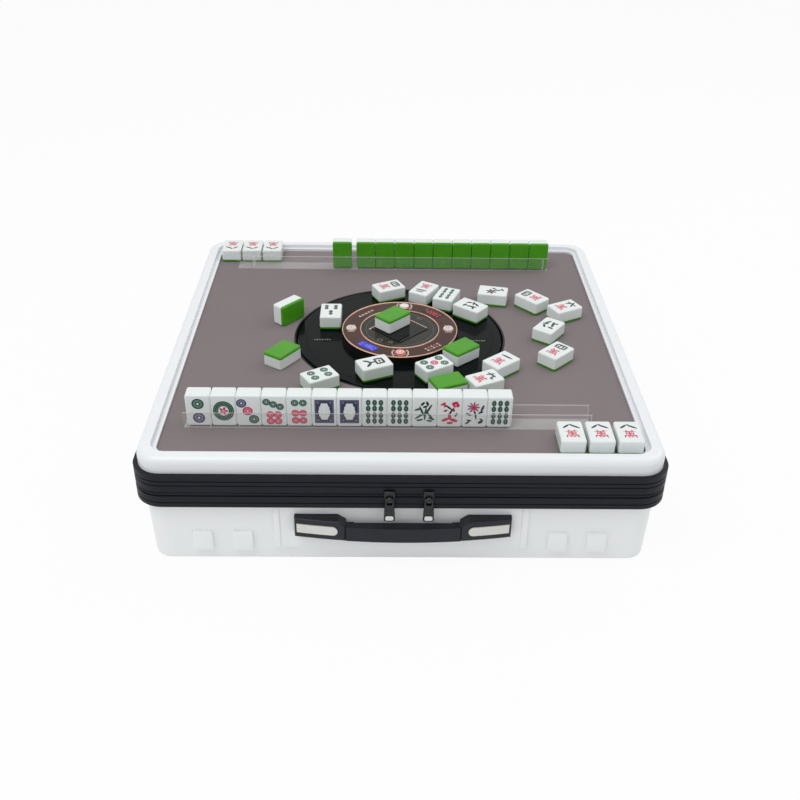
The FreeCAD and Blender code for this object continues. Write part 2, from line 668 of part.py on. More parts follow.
def band(name, low, high, tape_low, tape_high, grooves):
    """One half of the black band, with its half of the zip."""
    body = doc.addObject("PartDesign::Body", name + "_body")
    stand = "case_half + band_stand"
    corner = "case_corner + band_stand"
    strip = rounded_rectangle(body, name + "_strip", stand, stand, corner, low)
    pad(body, name + "_strip_pad", strip, "(%s) - (%s)" % (high, low))
    tape_half = "case_half + tape_stand"
    tape = rounded_rectangle(
        body, name + "_tape", tape_half, tape_half, "case_corner + tape_stand", tape_low)
    pad(body, name + "_tape_pad", tape, "(%s) - (%s)" % (tape_high, tape_low))
    hollow = rounded_rectangle(
        body, name + "_hollow", "case_half", "case_half", "case_corner", "band_high")
    pad(body, name + "_hollow_pocket", hollow, "band_high - band_low + overrun", "Pocket")
    tools = []
    for number, level in enumerate(grooves):
        tools.append(ring_slab(
            "%s_groove_%d" % (name, number),
            stand + " + overrun", corner + " + overrun",
            stand + " - groove_deep", corner + " - groove_deep",
            level, "(%s) + groove_high" % level,
        ))
    return node(cut(name, body, *tools))


def bands():
    lower_top = "%s - tape_high" % WALL_TOP
    band("lower_band", "band_low", lower_top, lower_top, WALL_TOP, ["band_low + groove_step"])
    upper_low = "%s + tape_high" % TOP_START
    levels = ["%s + groove_first + groove_step * %d" % (upper_low, count) for count in range(2)]
    band("upper_band", upper_low, "band_high", TOP_START, upper_low, levels)


BAND_FACE = "case_half + band_stand"
SLIDER_FACE = "%s + slip + slider_thick" % BAND_FACE
PULL_AXIS = "%s + bridge_deep / 2" % SLIDER_FACE
PULL_HEIGHT = "seam_height - slip * 5"


def zip_slider(name, place):
    plate = block(
        name + "_plate", "slider_wide", "slider_thick", "slider_high",
        place, "-(%s + slip + slider_thick / 2)" % BAND_FACE, "seam_height - slider_high / 2")
    nib = block(
        name + "_nib", "slider_wide - slip * 4",
        "band_stand - tape_stand + slider_thick / 2", "tape_high * 2 - slip * 2",
        place, "-(case_half + tape_stand + slip + (band_stand - tape_stand + slider_thick / 2) / 2)",
        "seam_height - tape_high + slip")
    bridge = block(
        name + "_bridge", "bridge_wide", "bridge_deep + slider_thick / 2", "bridge_high",
        place, "-(%s + bridge_deep / 2 - slider_thick / 4)" % SLIDER_FACE,
        "%s - bridge_high / 2" % PULL_HEIGHT)
    hole = cylinder(
        name + "_hole", "pull_pin + pivot_slip", "bridge_wide + overrun * 2",
        "%s - bridge_wide / 2 - overrun" % place, "-(%s)" % PULL_AXIS, PULL_HEIGHT, ALONG_X)
    return node(cut(name, fuse(name + "_solid", plate, nib, bridge), hole))


def zip_pull(name, place):
    pin_half = "bridge_wide / 2 + slip + pull_arm"
    pin = cylinder(
        name + "_pin", "pull_pin", "(%s) * 2" % pin_half,
        "%s - (%s)" % (place, pin_half), "-(%s)" % PULL_AXIS, PULL_HEIGHT, ALONG_X)
    arm_low = "%s - bridge_high / 2 - bridge_deep / 2" % PULL_HEIGHT
    arms = []
    for side in (-1, 1):
        middle = "%s + (%d) * (bridge_wide / 2 + slip + pull_arm / 2)" % (place, side)
        arms.append(block(
            "%s_arm_%d" % (name, side + 1), "pull_arm", "pull_thick",
            "%s + pull_pin - (%s)" % (PULL_HEIGHT, arm_low), middle, "-(%s)" % PULL_AXIS, arm_low))
    tab = block(
        name + "_tab", "(%s) * 2" % pin_half, "pull_thick",
        "(%s) - (%s - pull_long) + overrun" % (arm_low, PULL_HEIGHT),
        place, "-(%s)" % PULL_AXIS, "%s - pull_long" % PULL_HEIGHT)
    eye = block(
        name + "_eye", "pull_arm * 2", "pull_thick + overrun * 2", "pull_long / 3",
        place, "-(%s)" % PULL_AXIS, "%s - pull_long + pull_arm * 2" % PULL_HEIGHT)
    return node(cut(name, fuse(name + "_solid", pin, tab, *arms), eye))


# The handle on the front panel: its whole front lies on one upright cylinder

HANDLE_RADIUS = "(handle_half^2 + handle_rise^2) / (2 * handle_rise)"
HANDLE_AXIS = "%s - (%s + handle_depth)" % (HANDLE_RADIUS, PANEL_FACE)
HANDLE_SPAN = "handle_half - handle_block - handle_nose"


def handle_round_bar(name, radius, low, high):
    return cylinder(name, radius, "%s - (%s)" % (high, low), "handle_centre", HANDLE_AXIS, low)


def end_outline(body, side):
    """A handle end seen from above: its front is an arc, its back is flat."""
    drawing = sketch(body, "handle_end_outline_%d" % (side + 1), "XY_Plane", "handle_low")
    radius = size(HANDLE_RADIUS)
    middle = Vector(size("handle_centre"), size(HANDLE_AXIS), 0)
    back = size("-(%s)" % PANEL_FACE)
    ends = sorted(side * size(reach) for reach in ("handle_half", HANDLE_SPAN))
    first, last = (-math.pi / 2 + math.asin(end / radius) for end in ends)
    arc = Part.ArcOfCircle(Part.Circle(middle, Vector(0, 0, 1), radius), first, last)
    left, right = (Vector(middle.x + end, back, 0) for end in ends)
    drawing.addGeometry(arc)
    drawing.addGeometry(Part.LineSegment(arc.EndPoint, right))
    drawing.addGeometry(Part.LineSegment(right, left))
    drawing.addGeometry(Part.LineSegment(left, arc.StartPoint))
    for index in range(4):
        following = (index + 1) % 4
        drawing.addConstraint(Sketcher.Constraint("Coincident", index, 2, following, 1))
    drawing.addConstraint(Sketcher.Constraint("Vertical", 1))
    drawing.addConstraint(Sketcher.Constraint("Horizontal", 2))
    drawing.addConstraint(Sketcher.Constraint("Vertical", 3))
    datum(drawing, HANDLE_RADIUS, "Radius", 0)
    datum(drawing, "handle_centre", "DistanceX", -1, 1, 0, 3)
    datum(drawing, HANDLE_AXIS, "DistanceY", -1, 1, 0, 3)
    datum(drawing, "-(%s)" % PANEL_FACE, "DistanceY", -1, 1, 2, 1)
    reaches = ("handle_half", HANDLE_SPAN) if side == 1 else (HANDLE_SPAN, "handle_half")
    datum(drawing, "handle_centre + (%d) * (%s)" % (side, reaches[0]), "DistanceX", -1, 1, 2, 1)
    datum(drawing, "handle_centre + (%d) * (%s)" % (side, reaches[1]), "DistanceX", -1, 1, 2, 2)
    return drawing


def handle_ends():
    ends = []
    for side in (-1, 1):
        body = doc.addObject("PartDesign::Body", "handle_end_%d" % (side + 1))
        solid = pad(
            body, "handle_end_pad_%d" % (side + 1), end_outline(body, side),
            "handle_high - handle_low")
        radius = size(HANDLE_RADIUS)
        axis = size(HANDLE_AXIS)
        centre = size("handle_centre")
        fillet(
            body, "handle_end_round_%d" % (side + 1), solid, "handle_round",
            lambda point: abs(math.hypot(point.x - centre, point.y - axis) - radius) < size("seat") / 2)
        inner = "handle_half - handle_block"
        slope = outline(body, "nose_slope_%d" % (side + 1), "XZ_Plane", [
            ("handle_centre + (%d) * (%s)" % (side, inner), "handle_high"),
            ("handle_centre + (%d) * (%s)" % (side, inner), "handle_high + overrun"),
            ("handle_centre + (%d) * (%s - overrun)" % (side, HANDLE_SPAN), "handle_high + overrun"),
            ("handle_centre + (%d) * (%s - overrun)" % (side, HANDLE_SPAN), "strap_high"),
            ("handle_centre + (%d) * (%s)" % (side, HANDLE_SPAN), "strap_high"),
        ], PANEL_FACE)
        slope_cut = pad(body, "nose_slope_cut_%d" % (side + 1), slope, "handle_depth + overrun", "Pocket")
        slope_cut.Reversed = True
        long = "tongue_long + tongue_edge"
        low = HANDLE_SPAN if side == 1 else "%s + %s" % (HANDLE_SPAN, long)
        start = "handle_centre + (%d) * (%s)" % (side, low)
        if side == 1:
            start = start + " - overrun"
        room = box(
            "tongue_room_%d" % (side + 1), long + " + overrun", "handle_depth + overrun",
            "strap_high - strap_low - tongue_edge",
            start, "-(%s + handle_depth)" % PANEL_FACE, "strap_low + tongue_edge / 2")
        reach = handle_round_bar(
            "tongue_reach_%d" % (side + 1), HANDLE_RADIUS + " - handle_front", "handle_low", "handle_high")
        hollow = doc.addObject("Part::Common", "tongue_hollow_%d" % (side + 1))
        hollow.Base = room
        hollow.Tool = reach
        ends.append(cut("handle_end_shell_%d" % (side + 1), body, hollow))
    return node(group("handle_ends", ends))


def handle_inserts():
    """Silver plates on the handle ends, round at their inner ends."""
    inserts = []
    for side in (-1, 1):
        outer = "handle_half - insert_edge"
        inner = "handle_half - handle_block + insert_high / 2"
        low = inner if side == 1 else outer
        face = "-(%s + handle_depth + insert_thick)" % PANEL_FACE
        plate = box(
            "insert_plate_%d" % (side + 1), "%s - (%s)" % (outer, inner), "handle_depth", "insert_high",
            "handle_centre + (%d) * (%s)" % (side, low), face, "insert_low")
        end = cylinder(
            "insert_end_%d" % (side + 1), "insert_high / 2", "handle_depth",
            "handle_centre + (%d) * (%s)" % (side, inner), face, "insert_low + insert_high / 2", ALONG_Y)
        outside = handle_round_bar(
            "insert_outside_%d" % (side + 1), HANDLE_RADIUS + " + insert_thick", "handle_low", "handle_high")
        inside = handle_round_bar(
            "insert_inside_%d" % (side + 1), HANDLE_RADIUS, "handle_low", "handle_high")
        insert = doc.addObject("Part::Common", "insert_%d" % (side + 1))
        insert.Base = fuse("insert_shape_%d" % (side + 1), plate, end)
        insert.Tool = cut("insert_skin_%d" % (side + 1), outside, inside)
        inserts.append(insert)
    return node(group("handle_inserts", inserts))


def handle_strap():
    """The grip: a bar with a bowed front, whose tongues slide in the hollow handle ends."""
    high = "strap_high - strap_low"
    bow = doc.addObject("Part::Common", "grip_bow")
    bow.Base = handle_round_bar("grip_round", HANDLE_RADIUS, "strap_low", "strap_high")
    bow.Tool = block(
        "grip_room", "(%s) * 2 - slip * 2" % HANDLE_SPAN, "handle_depth - strap_back", high,
        "handle_centre", "-(%s + (handle_depth + strap_back) / 2)" % PANEL_FACE, "strap_low")
    tongues = []
    for side in (-1, 1):
        tongues.append(block(
            "grip_tongue_%d" % (side + 1), "tongue_long + handle_nose", "tongue_thick",
            "strap_high - strap_low - tongue_edge * 2",
            "handle_centre + (%d) * (%s + tongue_long / 2 - handle_nose / 2)" % (side, HANDLE_SPAN),
            "-(%s + slip + tongue_thick / 2)" % PANEL_FACE, "strap_low + tongue_edge"))
        tongues.append(block(
            "grip_foot_%d" % (side + 1), "handle_nose - slip", "strap_back + tongue_thick / 2",
            "strap_high - strap_low - tongue_edge * 2",
            "handle_centre + (%d) * (%s - handle_nose / 2 - slip / 2)" % (side, HANDLE_SPAN),
            "-(%s + slip + strap_back / 2 + tongue_thick / 4)" % PANEL_FACE, "strap_low + tongue_edge"))
    return node(fuse("handle_strap", bow, *tongues))


# The hinges at the back

HINGE_Y = "case_half + band_stand + hinge_back"
KNUCKLE = "(hinge_long - slip * 2) / 3"


def hinge_part(name, place, low, high, knuckles, pinned):
    """One leaf of one hinge, with its share of the barrel."""
    leaf = block(
        name + "_leaf", "hinge_long", "leaf_thick", "(%s) - (%s)" % (high, low),
        place, "%s + leaf_thick / 2" % BAND_FACE, low)
    parts = [leaf]
    web_low = "%s - hinge_barrel" % "seam_height" if pinned else TOP_START
    web_high = "hinge_barrel - seam_gap / 2"
    for number in knuckles:
        start = "%s - hinge_long / 2 + (%s + slip) * %d" % (place, KNUCKLE, number)
        label = "%s_knuckle_%d" % (name, number)
        parts.append(cylinder(label, "hinge_barrel", KNUCKLE, start, HINGE_Y, "seam_height", ALONG_X))
        parts.append(box(label + "_web", KNUCKLE, "hinge_back", web_high, start, BAND_FACE, web_low))
    start = "%s - hinge_long / 2" % place
    if pinned:
        parts.append(cylinder(name + "_pin", "hinge_pin", "hinge_long", start, HINGE_Y, "seam_height", ALONG_X))
        return fuse(name, *parts)
    hole = cylinder(
        name + "_hole", "hinge_pin + pivot_slip", "hinge_long", start, HINGE_Y, "seam_height", ALONG_X)
    return cut(name, fuse(name + "_solid", *parts), hole)


def hinges():
    case_side = []
    top_side = []
    for side in (-1, 1):
        place = "hinge_spread * (%d)" % side
        case_high = "seam_height - hinge_barrel"
        case_side.append(hinge_part(
            "case_leaf_%d" % (side + 1), place, "leaf_low", case_high, (0, 2), True))
        top_side.append(hinge_part(
            "top_leaf_%d" % (side + 1), place, "seam_height + hinge_barrel", "leaf_high", (1,), False))
    node(group("case_hinge_leaves", case_side))
    node(group("deck_hinge_leaves", top_side))


# The top

BOARD_TOP = "mat_height - mat_thick"
BOARD_LOW = "mat_height - mat_thick - board_thick"
WELL_INNER = "disc_radius + disc_gap"
WELL_OUTER = "disc_radius + disc_gap + well_wall"


def board_screw_places():
    edge = "(case_half - shell_wall - board_screw_edge)"
    for side in (-1, 1):
        for step in (-1, 0, 1):
            yield "%s * (%d)" % (edge, side), "board_screw_step * (%d)" % step
            yield "board_screw_step * (%d)" % step, "%s * (%d)" % (edge, side)


def screw_holes(body, prefix, places, low, height):
    for number, (x, y) in enumerate(places):
        body_solid(
            body, "%s_%d" % (prefix, number), "SubtractiveCylinder", x, y, low,
            Radius="screw_radius + screw_slip", Height=height)


def rim_frame():
    body = doc.addObject("PartDesign::Body", "rim_frame")
    half = "case_half + rim_stand"
    skirt = rounded_rectangle(body, "frame_skirt", "case_half", "case_half", "case_corner", TOP_START)
    pad(body, "frame_skirt_pad", skirt, "band_high - (%s)" % TOP_START)
    rim = rounded_rectangle(body, "frame_rim", half, half, "case_corner + rim_stand", "band_high")
    solid = pad(body, "frame_rim_pad", rim, "crown_height - band_high")
    fillet(body, "frame_round", solid, "rim_round", at_height("crown_height"))
    inner = "case_half - shell_wall"
    below = rounded_rectangle(
        body, "frame_below", inner, inner, "case_corner - shell_wall", BOARD_TOP)
    pad(body, "frame_below_pocket", below, "%s - (%s) + overrun" % (BOARD_TOP, TOP_START), "Pocket")
    wide = "mat_half + ledge_wide"
    mouth = rounded_rectangle(
        body, "frame_mouth", wide, wide, "mat_corner + ledge_wide", "crown_height")
    pad(body, "frame_mouth_pocket", mouth, "crown_height - ledge_height", "Pocket")
    opening = rounded_rectangle(
        body, "frame_opening", "mat_half", "mat_half", "mat_corner", "crown_height")
    last = pad(body, "frame_opening_pocket", opening, "crown_height - (%s) + overrun" % BOARD_TOP, "Pocket")
    reach = size(wide + " + seat")
    level = at_height("crown_height")
    fillet(
        body, "frame_ease", last, "rim_ease",
        lambda point: level(point) and max(abs(point.x), abs(point.y)) < reach)
    screw_holes(body, "frame_screw_hole", board_screw_places(), BOARD_TOP, "board_screw_grip + seat")
    return node(body)


def deck_board():
    half = "case_half - shell_wall - slip"
    body = slab("deck_board", half, half, "case_corner - shell_wall - slip", BOARD_LOW, BOARD_TOP)
    body_solid(
        body, "board_well", "SubtractiveCylinder", "0", "0", "%s - overrun" % BOARD_LOW,
        Radius=WELL_OUTER + " + seat", Height="board_thick + overrun * 2")
    screw_holes(
        body, "board_screw_hole", board_screw_places(), "%s - overrun" % BOARD_LOW,
        "board_thick + overrun * 2")
    return node(body)


def deck_screws():
    screws = []
    for number, (x, y) in enumerate(board_screw_places()):
        head = cylinder(
            "board_screw_head_%d" % number, "screw_head", "screw_head_high",
            x, y, "%s - screw_head_high" % BOARD_LOW)
        shank = cylinder(
            "board_screw_shank_%d" % number, "screw_radius",
            "board_thick + board_screw_grip", x, y, BOARD_LOW)
        screws.append(fuse("board_screw_%d" % number, head, shank))
    return node(group("deck_screws", screws))


def table_mat():
    half = "mat_half - slip"
    body = slab("table_mat", half, half, "mat_corner - slip", BOARD_TOP, "mat_height")
    body_solid(
        body, "mat_well", "SubtractiveCylinder", "0", "0", "%s - overrun" % BOARD_TOP,
        Radius=WELL_OUTER + " + seat", Height="mat_thick + overrun * 2")
    return node(body)


def well_ring():
    lip = WELL_OUTER + " + well_lip"
    lip_low = "%s - well_lip_thick" % BOARD_LOW
    return node(turned("well_ring", [
        (WELL_INNER, lip_low), (lip, lip_low), (lip, BOARD_LOW),
        (WELL_OUTER, BOARD_LOW), (WELL_OUTER, "mat_height"), (WELL_INNER, "mat_height"),
    ]))


# The lifting centre

DISC_LOW = "disc_height - disc_thick"
CARRIER_LOW = "disc_height - disc_thick - carrier_thick"
CONSOLE_TOP = "disc_height + console_high"
TUBE_RADIUS = "post_radius - post_wall - slip"
TUBE_TOP = "%s - tube_gap" % CARRIER_LOW
DIAL_TOP = "%s - dial_sink" % CONSOLE_TOP
WINDOW_TOP = "%s + window_thick" % DIAL_TOP


def disc_carrier():
    reach = "disc_radius - disc_rim + carrier_lap"
    socket = "%s + socket_wall" % TUBE_RADIUS
    low = "%s - socket_high" % TUBE_TOP
    return node(turned("disc_carrier", [
        (TUBE_RADIUS + " + seat", low), (socket, low), (socket, CARRIER_LOW),
        (reach, CARRIER_LOW), (reach, DISC_LOW), ("0", DISC_LOW),
        ("0", TUBE_TOP), (TUBE_RADIUS + " + seat", TUBE_TOP),
    ]))


def lift_tube():
    """The tube that carries the disc, with its nut and the key that guides it."""
    bore = "%s - tube_wall" % TUBE_RADIUS
    nut_bore = "lift_screw_radius + pivot_slip"
    nut_top = "nut_low + nut_high"
    tube = turned("lift_tube_turning", [
        (bore, "tube_low"), (TUBE_RADIUS, "tube_low"), (TUBE_RADIUS, TUBE_TOP), (bore, TUBE_TOP),
        (bore, nut_top), (nut_bore, nut_top), (nut_bore, "nut_low"), (bore, "nut_low"),
    ])
    key = block(
        "lift_key", "post_wall + tube_wall / 2", "key_wide", "key_high",
        "%s - tube_wall / 2 + (post_wall + tube_wall / 2) / 2 " % TUBE_RADIUS, "0", "tube_low")
    return node(fuse("lift_tube", tube, key))


def lift_disc():
    disc = "disc_radius - disc_rim - slip"
    return node(turned("lift_disc", [
        ("0", DISC_LOW), (disc, DISC_LOW), (disc, "disc_height"), ("0", "disc_height"),
    ]))


def disc_rim():
    inner = "disc_radius - disc_rim"
    edge = "disc_thick / 5"
    return node(turned("disc_rim", [
        (inner, DISC_LOW), ("disc_radius", DISC_LOW), ("disc_radius", "disc_height - " + edge),
        ("disc_radius - " + edge, "disc_height"), (inner, "disc_height"),
    ]))


def console_housing():
    """The ring-shaped console: hollow, with holes for buttons and seats for displays."""
    roof = "%s - console_wall" % CONSOLE_TOP
    ledge = "%s - dial_thick" % DIAL_TOP
    shelf = "dial_radius - dial_wall"
    body = turned("console_turning", [
        (shelf, "%s - dial_thick" % ledge), ("dial_radius", "%s - dial_thick * 2" % ledge),
        ("dial_radius", "disc_height"), ("dial_radius + dial_wall", "disc_height"),
        ("dial_radius + dial_wall", roof),
        ("console_radius - console_draft - console_wall", roof),
        ("console_radius - console_wall", "disc_height"), ("console_radius", "disc_height"),
        ("console_radius - console_draft", CONSOLE_TOP), ("dial_radius", CONSOLE_TOP),
        ("dial_radius", ledge), (shelf, ledge),
    ])
    tools = []
    for name, angle in BUTTONS:
        x, y = spread("button_ring", angle)
        tools.append(cylinder(
            name + "_hole", "button_radius + slip", "console_wall + overrun * 2",
            x, y, "%s - overrun" % roof))
    for number, angle in enumerate(DISPLAY_ANGLES):
        x, y = spread("display_ring", angle)
        tools.append(block(
            "display_seat_%d" % number, "display_long + seat * 2", "display_wide + seat * 2",
            "display_deep + overrun", x, y, "%s - display_deep" % CONSOLE_TOP, angle + 90))
    return node(cut("console_housing", body, *tools))


def console_bezels():
    """The two metal rings on the console."""
    rings = []
    outer = "console_radius - console_draft"
    for name, low in (("outer", outer + " - bezel_wide"), ("inner", "dial_radius")):
        top = "%s + bezel_high" % CONSOLE_TOP
        edge = "bezel_high / 2"
        rings.append(turned(name + "_bezel", [
            (low, CONSOLE_TOP), (low + " + bezel_wide", CONSOLE_TOP),
            ("%s + bezel_wide - %s" % (low, edge), top), ("%s + %s" % (low, edge), top),
        ]))
    return node(group("console_bezels", rings))


def dial_glass():
    edge = "dial_radius - seat"
    low = "%s - dial_thick" % DIAL_TOP
    return node(turned("dial_glass", [("0", low), (edge, low), (edge, DIAL_TOP), ("0", DIAL_TOP)]))


def dice_window():
    side = "window_half * 2"
    return node(block("dice_window", side, side, "window_thick", "0", "0", DIAL_TOP, 45))


def led_displays():
    glasses = []
    for number, angle in enumerate(DISPLAY_ANGLES):
        x, y = spread("display_ring", angle)
        glasses.append(block(
            "display_%d" % number, "display_long", "display_wide", "display_deep + display_stand",
            x, y, "%s - display_deep" % CONSOLE_TOP, angle + 90))
    return node(group("led_displays", glasses))


BUTTON_LOW = "%s - console_wall - seat - button_flange" % CONSOLE_TOP


def console_board():
    """The ring-shaped circuit with a switch under each button."""
    inner = "dial_radius + dial_wall + circuit_edge"
    outer = "console_radius - console_wall - console_draft - circuit_edge"
    top = "disc_height + circuit_thick"
    ring = turned("console_circuit", [
        (inner, "disc_height"), (outer, "disc_height"), (outer, top), (inner, top)])
    switches = []
    for name, angle in BUTTONS:
        x, y = spread("button_ring", angle)
        switches.append(block(
            name + "_switch", "button_radius", "button_radius",
            "%s - button_travel - seat - (%s)" % (BUTTON_LOW, top), x, y, top, angle))
    return node(fuse("console_board", ring, *switches))


def buttons():
    for name, angle in BUTTONS:
        x, y = spread("button_ring", angle)
        flange = cylinder(name + "_flange", "button_radius + button_flange", "button_flange", x, y, BUTTON_LOW)
        cap = cylinder(
            name + "_cap", "button_radius", "%s + button_stand - (%s)" % (CONSOLE_TOP, BUTTON_LOW),
            x, y, BUTTON_LOW)
        node(fuse(name, flange, cap))


# The column, the bowl and the drive

BEARING_LOW = "%s + post_foot_thick * 2" % CHASSIS_TOP
BEARING_TOP = "%s + post_foot_thick * 2 + bearing_high" % CHASSIS_TOP


def chassis_plate():
    half = "chassis_half"
    body = slab("chassis_plate", half, half, "case_corner - shell_wall * 4", "chassis_height", CHASSIS_TOP)
    screw_holes(
        body, "chassis_screw_hole", chassis_screw_places(), "chassis_height - overrun",
        "chassis_thick + overrun * 2")
    for number, (across, along) in enumerate(((0, 0), (0, 1), (1, 0), (1, 1))):
        body_solid(
            body, "board_seat_%d" % number, "AdditiveBox",
            "-chassis_half + (supply_long - stand_off * 2) * %d" % across,
            "chassis_half - supply_wide + (supply_wide - stand_off * 2) * %d" % along,
            "%s - chassis_thick / 2" % CHASSIS_TOP,
            Length="stand_off * 2", Width="stand_off * 2", Height="stand_off + chassis_thick / 2")
    return node(body)


def chassis_screws():
    screws = []
    for number, (x, y) in enumerate(chassis_screw_places()):
        head = cylinder(
            "chassis_screw_head_%d" % number, "screw_head", "screw_head_high", x, y, CHASSIS_TOP)
        shank = cylinder(
            "chassis_screw_shank_%d" % number, "screw_radius",
            "%s - (%s) - seat" % (CHASSIS_TOP, FLOOR_TOP), x, y, "%s + seat" % FLOOR_TOP)
        screws.append(fuse("chassis_screw_%d" % number, head, shank))
    return node(group("chassis_screws", screws))


def hub_post():
    """The fixed post that the turntable runs round and the lift runs in."""
    bore = "post_radius - post_wall"
    foot_top = "%s + post_foot_thick" % CHASSIS_TOP
    collar = "post_radius + post_collar"
    post = turned("post_turning", [
        (bore, CHASSIS_TOP), ("post_foot", CHASSIS_TOP), ("post_foot", foot_top),
        (collar, foot_top), (collar, BEARING_LOW), ("post_radius", BEARING_LOW),
        ("post_radius", "post_high"), (bore, "post_high"),
    ])
    slot = block(
        "post_keyway", "post_wall * 2 + overrun * 2", "key_wide + slip * 2",
        "post_high - tube_low + overrun * 2", "post_radius", "0", "tube_low - overrun")
    return node(cut("hub_post", post, slot))


def turntable_bearing():
    inner = "post_radius + seat / 2"
    return node(turned("turntable_bearing", [
        (inner, BEARING_LOW), ("bearing_radius", BEARING_LOW),
        ("bearing_radius", BEARING_TOP), (inner, BEARING_TOP),
    ]))


PULLEY_LOW = "%s + slip" % BEARING_LOW
BELT_LOW = "%s + pulley_flange_thick + slip * 2" % PULLEY_LOW
PULLEY_TOP = "%s + pulley_flange_thick * 2 + belt_high + slip * 4" % PULLEY_LOW


def pulley_points(radius, low, top):
    """The grooved outside of a pulley, from its lower edge up."""
    rim = "%s + pulley_flange" % radius
    return [
        (rim, low), (rim, "%s + pulley_flange_thick" % low),
        (radius, "%s + pulley_flange_thick" % low), (radius, "%s - pulley_flange_thick" % top),
        (rim, "%s - pulley_flange_thick" % top), (rim, top),
    ]


def turntable_hub():
    bearing_bore = "bearing_radius + pivot_slip"
    shoulder = "%s + pivot_slip" % BEARING_TOP
    clear = "post_radius + bore_slip"
    points = [(bearing_bore, PULLEY_LOW)]
    points += pulley_points("pulley_radius", PULLEY_LOW, PULLEY_TOP)
    points += [
        ("hub_neck", PULLEY_TOP), ("hub_neck", "turntable_low"), (clear, "turntable_low"),
        (clear, "%s + race_lap" % shoulder), ("bearing_radius - race_lap", "%s + race_lap" % shoulder),
        ("bearing_radius - race_lap", shoulder), (bearing_bore, shoulder),
    ]
    return node(turned("turntable_hub", points))


def turntable_plate():
    """The shuffling disc: a cone in the middle and ribs that stir the tiles."""
    top = "turntable_low + turntable_thick"
    clear = "post_radius + bore_slip"
    disc = turned("turntable_disc", [
        (clear, "turntable_low"), ("turntable_radius", "turntable_low"), ("turntable_radius", top),
        ("cone_radius", top), ("cone_top", "cone_high"), (clear, "cone_high"),
    ])
    ribs = []
    for number in range(STIRRING_RIBS):
        angle = 360 * number / STIRRING_RIBS + 30
        x, y = spread("paddle_start + paddle_long / 2", angle)
        ribs.append(block(
            "stirring_rib_%d" % number, "paddle_long", "paddle_wide",
            "paddle_high + turntable_thick / 2", x, y, "%s - turntable_thick / 2" % top, angle))
    return node(fuse("turntable_plate", disc, *ribs))


def drum_bowl():
    outer = "bowl_radius + bowl_wall"
    flange = "bowl_radius + bowl_flange"
    floor = "bowl_floor + bowl_wall"
    bowl = turned("bowl_turning", [
        ("bowl_hole", "bowl_floor"), (outer, "bowl_floor"), (outer, "bowl_high - bowl_wall"),
        (flange, "bowl_high - bowl_wall"), (flange, "bowl_high"), ("bowl_radius", "bowl_high"),
        ("bowl_radius", floor), ("bowl_hole", floor),
    ])
    legs = []
    for number in range(4):
        x, y = spread("bowl_leg_ring", 90 * number)
        legs.append(cylinder(
            "bowl_leg_%d" % number, "bowl_leg", "bowl_floor + bowl_wall / 2 - (%s)" % CHASSIS_TOP,
            x, y, CHASSIS_TOP))
    return node(fuse("drum_bowl", bowl, *legs))


def at_motor(thing, z="0"):
    return put(thing, "-motor_place", "-motor_place", z, about_z(45))


def motor_pulley():
    """The pulley on the motor's shaft."""
    points = [("0", PULLEY_LOW)]
    points += pulley_points("motor_pulley_radius", PULLEY_LOW, PULLEY_TOP)
    points += [
        ("motor_shaft", PULLEY_TOP), ("motor_shaft", "%s + motor_radius" % PULLEY_TOP),
        ("0", "%s + motor_radius" % PULLEY_TOP),
    ]
    return node(at_motor(turned("motor_pulley", points)))


def motor_bracket():
    high = "bracket_high"
    outside = block("bracket_outside", "bracket_side", "bracket_side", high, angle=45,
                    x="-motor_place", y="-motor_place", z=CHASSIS_TOP)
    inside = block(
        "bracket_inside", "bracket_side + overrun * 2", "bracket_side - bracket_thick * 2",
        "%s - bracket_thick + overrun" % high, angle=45,
        x="-motor_place", y="-motor_place", z="%s - overrun" % CHASSIS_TOP)
    hole = cylinder(
        "bracket_hole", "motor_radius / 2", high + " + overrun",
        "-motor_place", "-motor_place", CHASSIS_TOP)
    return node(cut("motor_bracket", outside, inside, hole))


def drive_motor():
    low = "%s + bracket_high" % CHASSIS_TOP
    top = "%s + motor_high" % low
    bore = "motor_shaft + pivot_slip"
    bore_top = "%s + motor_radius + slip" % PULLEY_TOP
    return node(at_motor(turned("drive_motor", [
        (bore, low), ("motor_radius", low), ("motor_radius", top + " - motor_shaft"),
        ("motor_radius - motor_shaft", top), ("0", top), ("0", bore_top), (bore, bore_top),
    ])))


def belt_loop(big, small, apart):
    """A closed loop round two circles, as a wire from the first circle's centre along X."""
    lean = math.acos((big - small) / apart)
    centre = Vector(apart, 0, 0)

    def on_circle(middle, radius, angle):
        return middle + Vector(radius * math.cos(angle), radius * math.sin(angle), 0)

    upper = on_circle(Vector(), big, lean)
    lower = on_circle(Vector(), big, -lean)
    far_upper = on_circle(centre, small, lean)
    far_lower = on_circle(centre, small, -lean)
    return Part.Wire([
        Part.Arc(upper, Vector(-big, 0, 0), lower).toShape(),
        Part.LineSegment(lower, far_lower).toShape(),
        Part.Arc(far_lower, Vector(apart + small, 0, 0), far_upper).toShape(),
        Part.LineSegment(far_upper, upper).toShape(),
    ])


def drive_belt():
    """The belt from the motor to the hub, drawn along its two straight runs and two arcs."""
    apart = size("motor_place * sqrt(2)")
    big = size("pulley_radius + slip")
    small = size("motor_pulley_radius + slip")
    thick = size("belt_thick")
    outside = Part.Face(belt_loop(big + thick, small + thick, apart))
    inside = Part.Face(belt_loop(big, small, apart))
    loop = outside.cut(inside).extrude(Vector(0, 0, size("belt_high")))
    belt = doc.addObject("Part::Feature", "drive_belt")
    belt.Shape = loop
    return node(put(belt, z=BELT_LOW, turn=about_z(225)))


def lift_motor():
    return node(cylinder("lift_motor", "lift_motor_radius", "lift_motor_high", z=CHASSIS_TOP))


